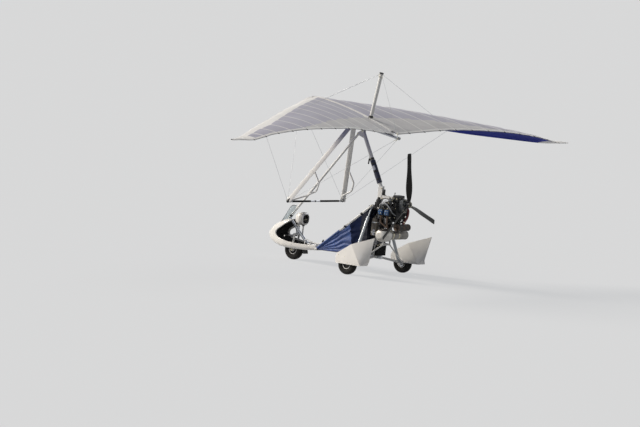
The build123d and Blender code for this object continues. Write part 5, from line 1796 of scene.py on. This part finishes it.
# the silencer behind the engine takes the darker oxide, and the barrel the grey that is painted shade
for polygon in silencers.data.polygons:
    if polygon.center.z > exhaust["darkFrom"]:
        polygon.material_index = 1
    elif polygon.center.y < exhaust["shadeDulledTo"]:
        polygon.material_index = 2

# oil tank: two bands with their bolts, the cap, and two pale patches that are painted highlights
oilTank = {
    "x": -50,
    "y": 205,
    "bands": (716, 884),
    "bandProfile": ((0, 62), (0.6, 63.6), (15.4, 63.6), (16, 62)),
    "top": 984,
    "topProfile": ((0, 27), (3, 28), (16, 28), (19, 25), (20, 8)),
    "paintedHighlights": (690, 757),
    "paintedHighlightHalf": 13,
    "paintedHighlightRadius": 0.0626,
    "paintedHighlightDegrees": (92, 128),
}
bm = bmesh.new()
for z in oilTank["bands"]:
    band = at(oilTank["x"], oilTank["y"], z)
    addLathe(bm, band, upward, oilTank["bandProfile"], 48, 0)
    lug = band + Vector((-0.050, 0.045, 0.008))
    addPlate(bm, lug, (0.66, -0.75, 0), (0.75, 0.66, 0), (26, 18, 9), 1.5, 1)
addLathe(bm, at(oilTank["x"], oilTank["y"], oilTank["top"]), upward, oilTank["topProfile"], 30, 2)
# the two pale patches towards port are painted highlights
angles = [math.radians(mix(*oilTank["paintedHighlightDegrees"], j / 6)) for j in range(7)]
for z in oilTank["paintedHighlights"]:
    rows = []
    for rise in (-1, 0, 1):
        middle = at(oilTank["x"], oilTank["y"], z + rise * oilTank["paintedHighlightHalf"])
        rows.append([middle + Vector((math.cos(a), math.sin(a), 0)) * oilTank["paintedHighlightRadius"] for a in angles])
    addSurface(bm, rows, 3)
settle("oilTankFittings", bm, "trike", ("anodisedAlloy", "zincPlate", "blackAbs", "paleNylon"), 38)

# above the crankcase: the air box's seam and clips, lifting eye, the pylon's bracket, loom, control module
engineTop = {
    "seam": ((-393.2, -99.2, 1324), (-270.8, 99.2, 1332)),
    "clip": (30, 12, 3),
    "clipZ": 1329,
    "sideClips": (-362, -302),
    "endClips": ((-393.5, -1), (-270.5, 1)),  # x and the way each faces
    "eye": (-246, 0, 1410),
    # place, the two directions, size and rounding
    "bracket": (
        ((-18, 0, 1392), upward, port, (78, 34, 40), 5),
        ((-30, 0, 1436), (0.35, 0, 1), port, (34, 20, 22), 4),
        ((-20, 0, 1356), forward, upward, (70, 58, 9), 2),
    ),
    "bolts": ((-6, 31, 1300, 14), (24, 31, 1460, 15), (60, 31, 1300, 12), (-190, 27, 1325, 12)),
    "loom": ((20, 26, 1268), (-20, 30, 1290), (-110, 30, 1301), (-190, 30, 1290), (-205, 36, 1240),
             (-196, 60, 1200)),
    "module": ((-404, -72, 1194), (-284, 72, 1268)),
    "moduleLeads": (-40, 0, 40),
}
bm = bmesh.new()
low, high = engineTop["seam"]
addBlock(bm, at(*low), at(*high), 3, 0)
for side in (-1, 1):
    for x in engineTop["sideClips"]:
        addPlate(bm, at(x, side * 101, engineTop["clipZ"]), upward, port * side, engineTop["clip"], 1, 1)
    for x, way in engineTop["endClips"]:
        addPlate(bm, at(x, side * 48, engineTop["clipZ"]), upward, forward * way, engineTop["clip"], 1, 1)
    addHose(bm, engineTop["loom"], 6.5, 10, 0, side=side)
x, y, z = engineTop["eye"]
addTube(bm, [at(x, y, 1190), at(x, y, z - 12)], 4.5, 12, 2)
addTube(bm, circle(at(x, y, z), forward, 13, 20, port), 4, 10, 2, loop=True)
addLathe(bm, at(x, y, 1196), upward, ((0, 13), (10, 13), (12, 8)), 6, 1)
for place, along, over, extent, rounding in engineTop["bracket"]:
    addPlate(bm, at(*place), along, over, extent, rounding, 0)
addBoltPairs(bm, engineTop["bolts"], 1)
low, high = engineTop["module"]
addBlock(bm, at(*low), at(*high), 5, 0)
for y in (-77, 70):
    addFins(bm, ((-400, y, 1202), (-396, y + 7, 1260)), (13, 0, 0), 9, 1, 0)
for y in engineTop["moduleLeads"]:
    addHose(bm, ((-286, y, 1232), (-262, y, 1236), (-240, y * 0.8, 1226), (-222, y * 0.6, 1198)), 7, 10, 0, 6)
settle("engineTopFittings", bm, "trike", ("blackAbs", "zincPlate", "blackAnodised"), 38)

# radiator: tanks, fins and cap
radiator = {
    "tanks": ((478, 496), (323, 338)),
    "finRows": (-100.8, -44.9),
    "fins": 24,
    "pitch": 9.7,
    "cap": (-72, -10, 494),
    "capProfile": ((0, 20), (4, 20), (6, 24), (14, 24), (17, 20), (18, 5)),
}
bm = bmesh.new()
for low, high in radiator["tanks"]:
    addBlock(bm, at(-103, -126, low), at(-42, 126, high), 4, 0)
for x in radiator["finRows"]:
    addFins(bm, ((x, -112, 340), (x + 0.7, -110.4, 477)), (0, radiator["pitch"], 0), radiator["fins"], 0.2, 1)
addLathe(bm, at(*radiator["cap"]), upward, radiator["capProfile"], 24, 2)
settle("radiatorFittings", bm, "trike", ("blackCore", "darkCasting", "zincPlate"), 38)

# oil cooler below the crankcase, on two straps, with its hoses and those behind the pylon
oilCooler = {
    "core": ((-158, -108, 792), (-124, 108, 925)),
    "fin": ((-160.5, -104, 798), (-121.5, 104, 801)),
    "fins": 17,
    "pitch": 7.4,
    # radius and sides of each hose, and its places to port, which are mirrored
    "hoses": (
        (9, 14, ((-141, 113, 812), (-139, 140, 814), (-128, 152, 850), (-118, 140, 930), (-108, 96, 1004))),
        (12, 14, ((-96, 40, 1000), (-88, 66, 900), (-70, 74, 760), (-62, 60, 620), (-60, 66, 492))),
        (7, 12, ((-150, 160, 1000), (-196, 176, 940), (-214, 168, 880), (-206, 130, 830), (-160, 96, 815))),
    ),
}
bm = bmesh.new()
low, high = oilCooler["core"]
addBlock(bm, at(*low), at(*high), 3, 0)
addFins(bm, oilCooler["fin"], (0, 0, oilCooler["pitch"]), oilCooler["fins"], 0.4, 1)
for side in (-1, 1):
    addBlock(bm, at(-164, side * 111 - 7, 786), at(-118, side * 111 + 7, 931), 4, 1)
    addPlate(bm, at(-141, side * 70, 957), upward, forward, (66, 24, 3), 1, 1)
    for radius, sides, route in oilCooler["hoses"]:
        addHose(bm, route, radius, sides, 2, side=side)
settle("oilCooler", bm, "trike", ("blackCore", "darkCasting", "hoseRubber"), 38)

# expansion bottle on the cross tube, with its cap, two bands, bracket and hoses
bottle = {
    "place": (-44, 172, 0),
    "body": ((1150, 12), (1154, 34), (1160, 40), (1168, 42), (1272, 42), (1284, 38), (1294, 27), (1298, 21),
             (1304, 21)),
    "cap": ((1300, 24), (1302, 26), (1318, 26), (1321, 23), (1322, 6)),
    "bands": (1188, 1250),
    # radius of each hose and its places
    "hoses": (
        (8, ((-44, 150, 1160), (-62, 128, 1120), (-84, 116, 1040), (-92, 104, 980))),
        (6, ((-44, 196, 1310), (-70, 214, 1300), (-92, 226, 1250), (-120, 232, 1170))),
    ),
}
bm = bmesh.new()
foot = at(*bottle["place"])
addLathe(bm, foot, upward, bottle["body"], 36, 0)
addLathe(bm, foot, upward, bottle["cap"], 30, 1)
for z in bottle["bands"]:
    addLathe(bm, foot, upward, ((z, 42), (z + 0.5, 43.6), (z + 13.5, 43.6), (z + 14, 42)), 36, 2)
addPlate(bm, at(12, 172, 1196), upward, forward, (76, 40, 4), 1.5, 2)
for radius, route in bottle["hoses"]:
    addHose(bm, route, radius, 12, 1)
settle("expansionBottle", bm, "trike", ("blackAbs", "hoseRubber", "darkCasting"), 38)
print("engine fittings made")

# hand lever on the port lip, with its grip and feet
handLever = {
    "rod": ((1352, 226, 340), (1345, 216, 404), (1262, 210, 384), (1173, 206, 364), (1080, 206, 362),
            (1030, 206, 372), (999, 206, 406)),
    "frontFoot": ((1352, 226, 345), (1352, 234, 322)),
    "rearFoot": ((1120, 206, 362), (1120, 226, 336), (1120, 236, 322)),
    "grip": ((0, 9), (3, 12.5), (40, 12.5), (46, 9), (48, 3)),
    "knob": ((0, 10), (12, 10), (16, 15), (28, 16), (36, 12), (39, 4)),
}
bm = bmesh.new()
addHose(bm, handLever["rod"], 8, 14, 0)
addTube(bm, mirrored(handLever["frontFoot"], 1), 9, 12, 0)
addTube(bm, mirrored(handLever["rearFoot"], 1), 7, 12, 0)
addLathe(bm, at(999, 206, 402), (-0.4, 0, 1), handLever["grip"], 18, 1)
addLathe(bm, at(1235, 231, 322), (0, -0.35, 1), handLever["knob"], 22, 0)
settle("handLever", bm, "trike", ("powderCoatedTube", "foamSleeve"), 50)

# frame: rubber cuffs at the strut's foot and the beam's bend, and the bolts through the tubes
frameTubes = {
    "strutFoot": (1884, 0, 709),
    "strutHead": (630, 0, 2330),
    "bend": (1440, 0, 292),
    "footCuff": ((0, 25), (2, 27), (20, 26), (40, 22.5), (42, 20.4)),
    "bendCuff": ((0, 25), (0.5, 30), (28, 29), (34, 27), (36, 25)),
    "beamBolts": (300, 620, 980, 1200),
    "pylonBolts": (760, 1000, 1240),
}
bm = bmesh.new()
strutFoot, strutHead, bend = (at(*frameTubes[key]) for key in ("strutFoot", "strutHead", "bend"))
strutLean = (strutHead - strutFoot).normalized()
rise = (strutFoot - bend).normalized()
addLathe(bm, strutFoot + strutLean * 0.028, strutLean, frameTubes["footCuff"], 28, 0)
addLathe(bm, bend + rise * 0.012, rise, frameTubes["bendCuff"], 28, 0)
addAcross(bm, strutFoot + strutLean * 0.008, 0.0255, 13, 1)
addAcross(bm, strutHead, 0.0335, 15, 1)
for y in (-42, 42):
    addBolt(bm, at(0, y, 318), upward, 11, 1)
places = [(x, 25, 292, 11) for x in frameTubes["beamBolts"]]
places += [(45, 25, z, 10) for z in frameTubes["pylonBolts"]]
addBoltPairs(bm, places + [(0, 57, 294, 13)], 1)
settle("frameFittings", bm, "trike", ("hoseRubber", "zincPlate"), 38)

# screws on the plane of the spats' front facets, and along the pod's lower edge
screws = {
    "facing": (0.148, 0.989, -0.01),
    "spat": ((150, 320), (10, 300), (120, 210), (-240, 214), (-60, 212)),
    "pod": ((1120, 296), (1260, 282), (1420, 276), (1600, 278), (1760, 292), (1900, 322)),
}
bm = bmesh.new()
x, y, z = screws["facing"]
for side in (-1, 1):
    out = Vector((x, side * y, z)).normalized()
    for along, height in screws["spat"]:
        across = 900 - 0.1496 * (along - 208) + 0.0101 * (height - 176)
        addLathe(bm, at(along, side * across, height), out, ((-1, 6.5), (1.2, 6.5), (2.2, 4)), 14, 0)
settle("spatScrews", bm, "trike", "zincPlate", 38)
bm = bmesh.new()
for side in (-1, 1):
    for along, height in screws["pod"]:
        spot = at(along, side * (podHalf(along, height) - 0.3), height)
        addLathe(bm, spot, port * side, ((-1, 5.5), (1.2, 5.5), (2.2, 3.5)), 12, 0)
settle("podScrews", bm, "trike", "anodisedAlloy", 38)
print("small fittings made")
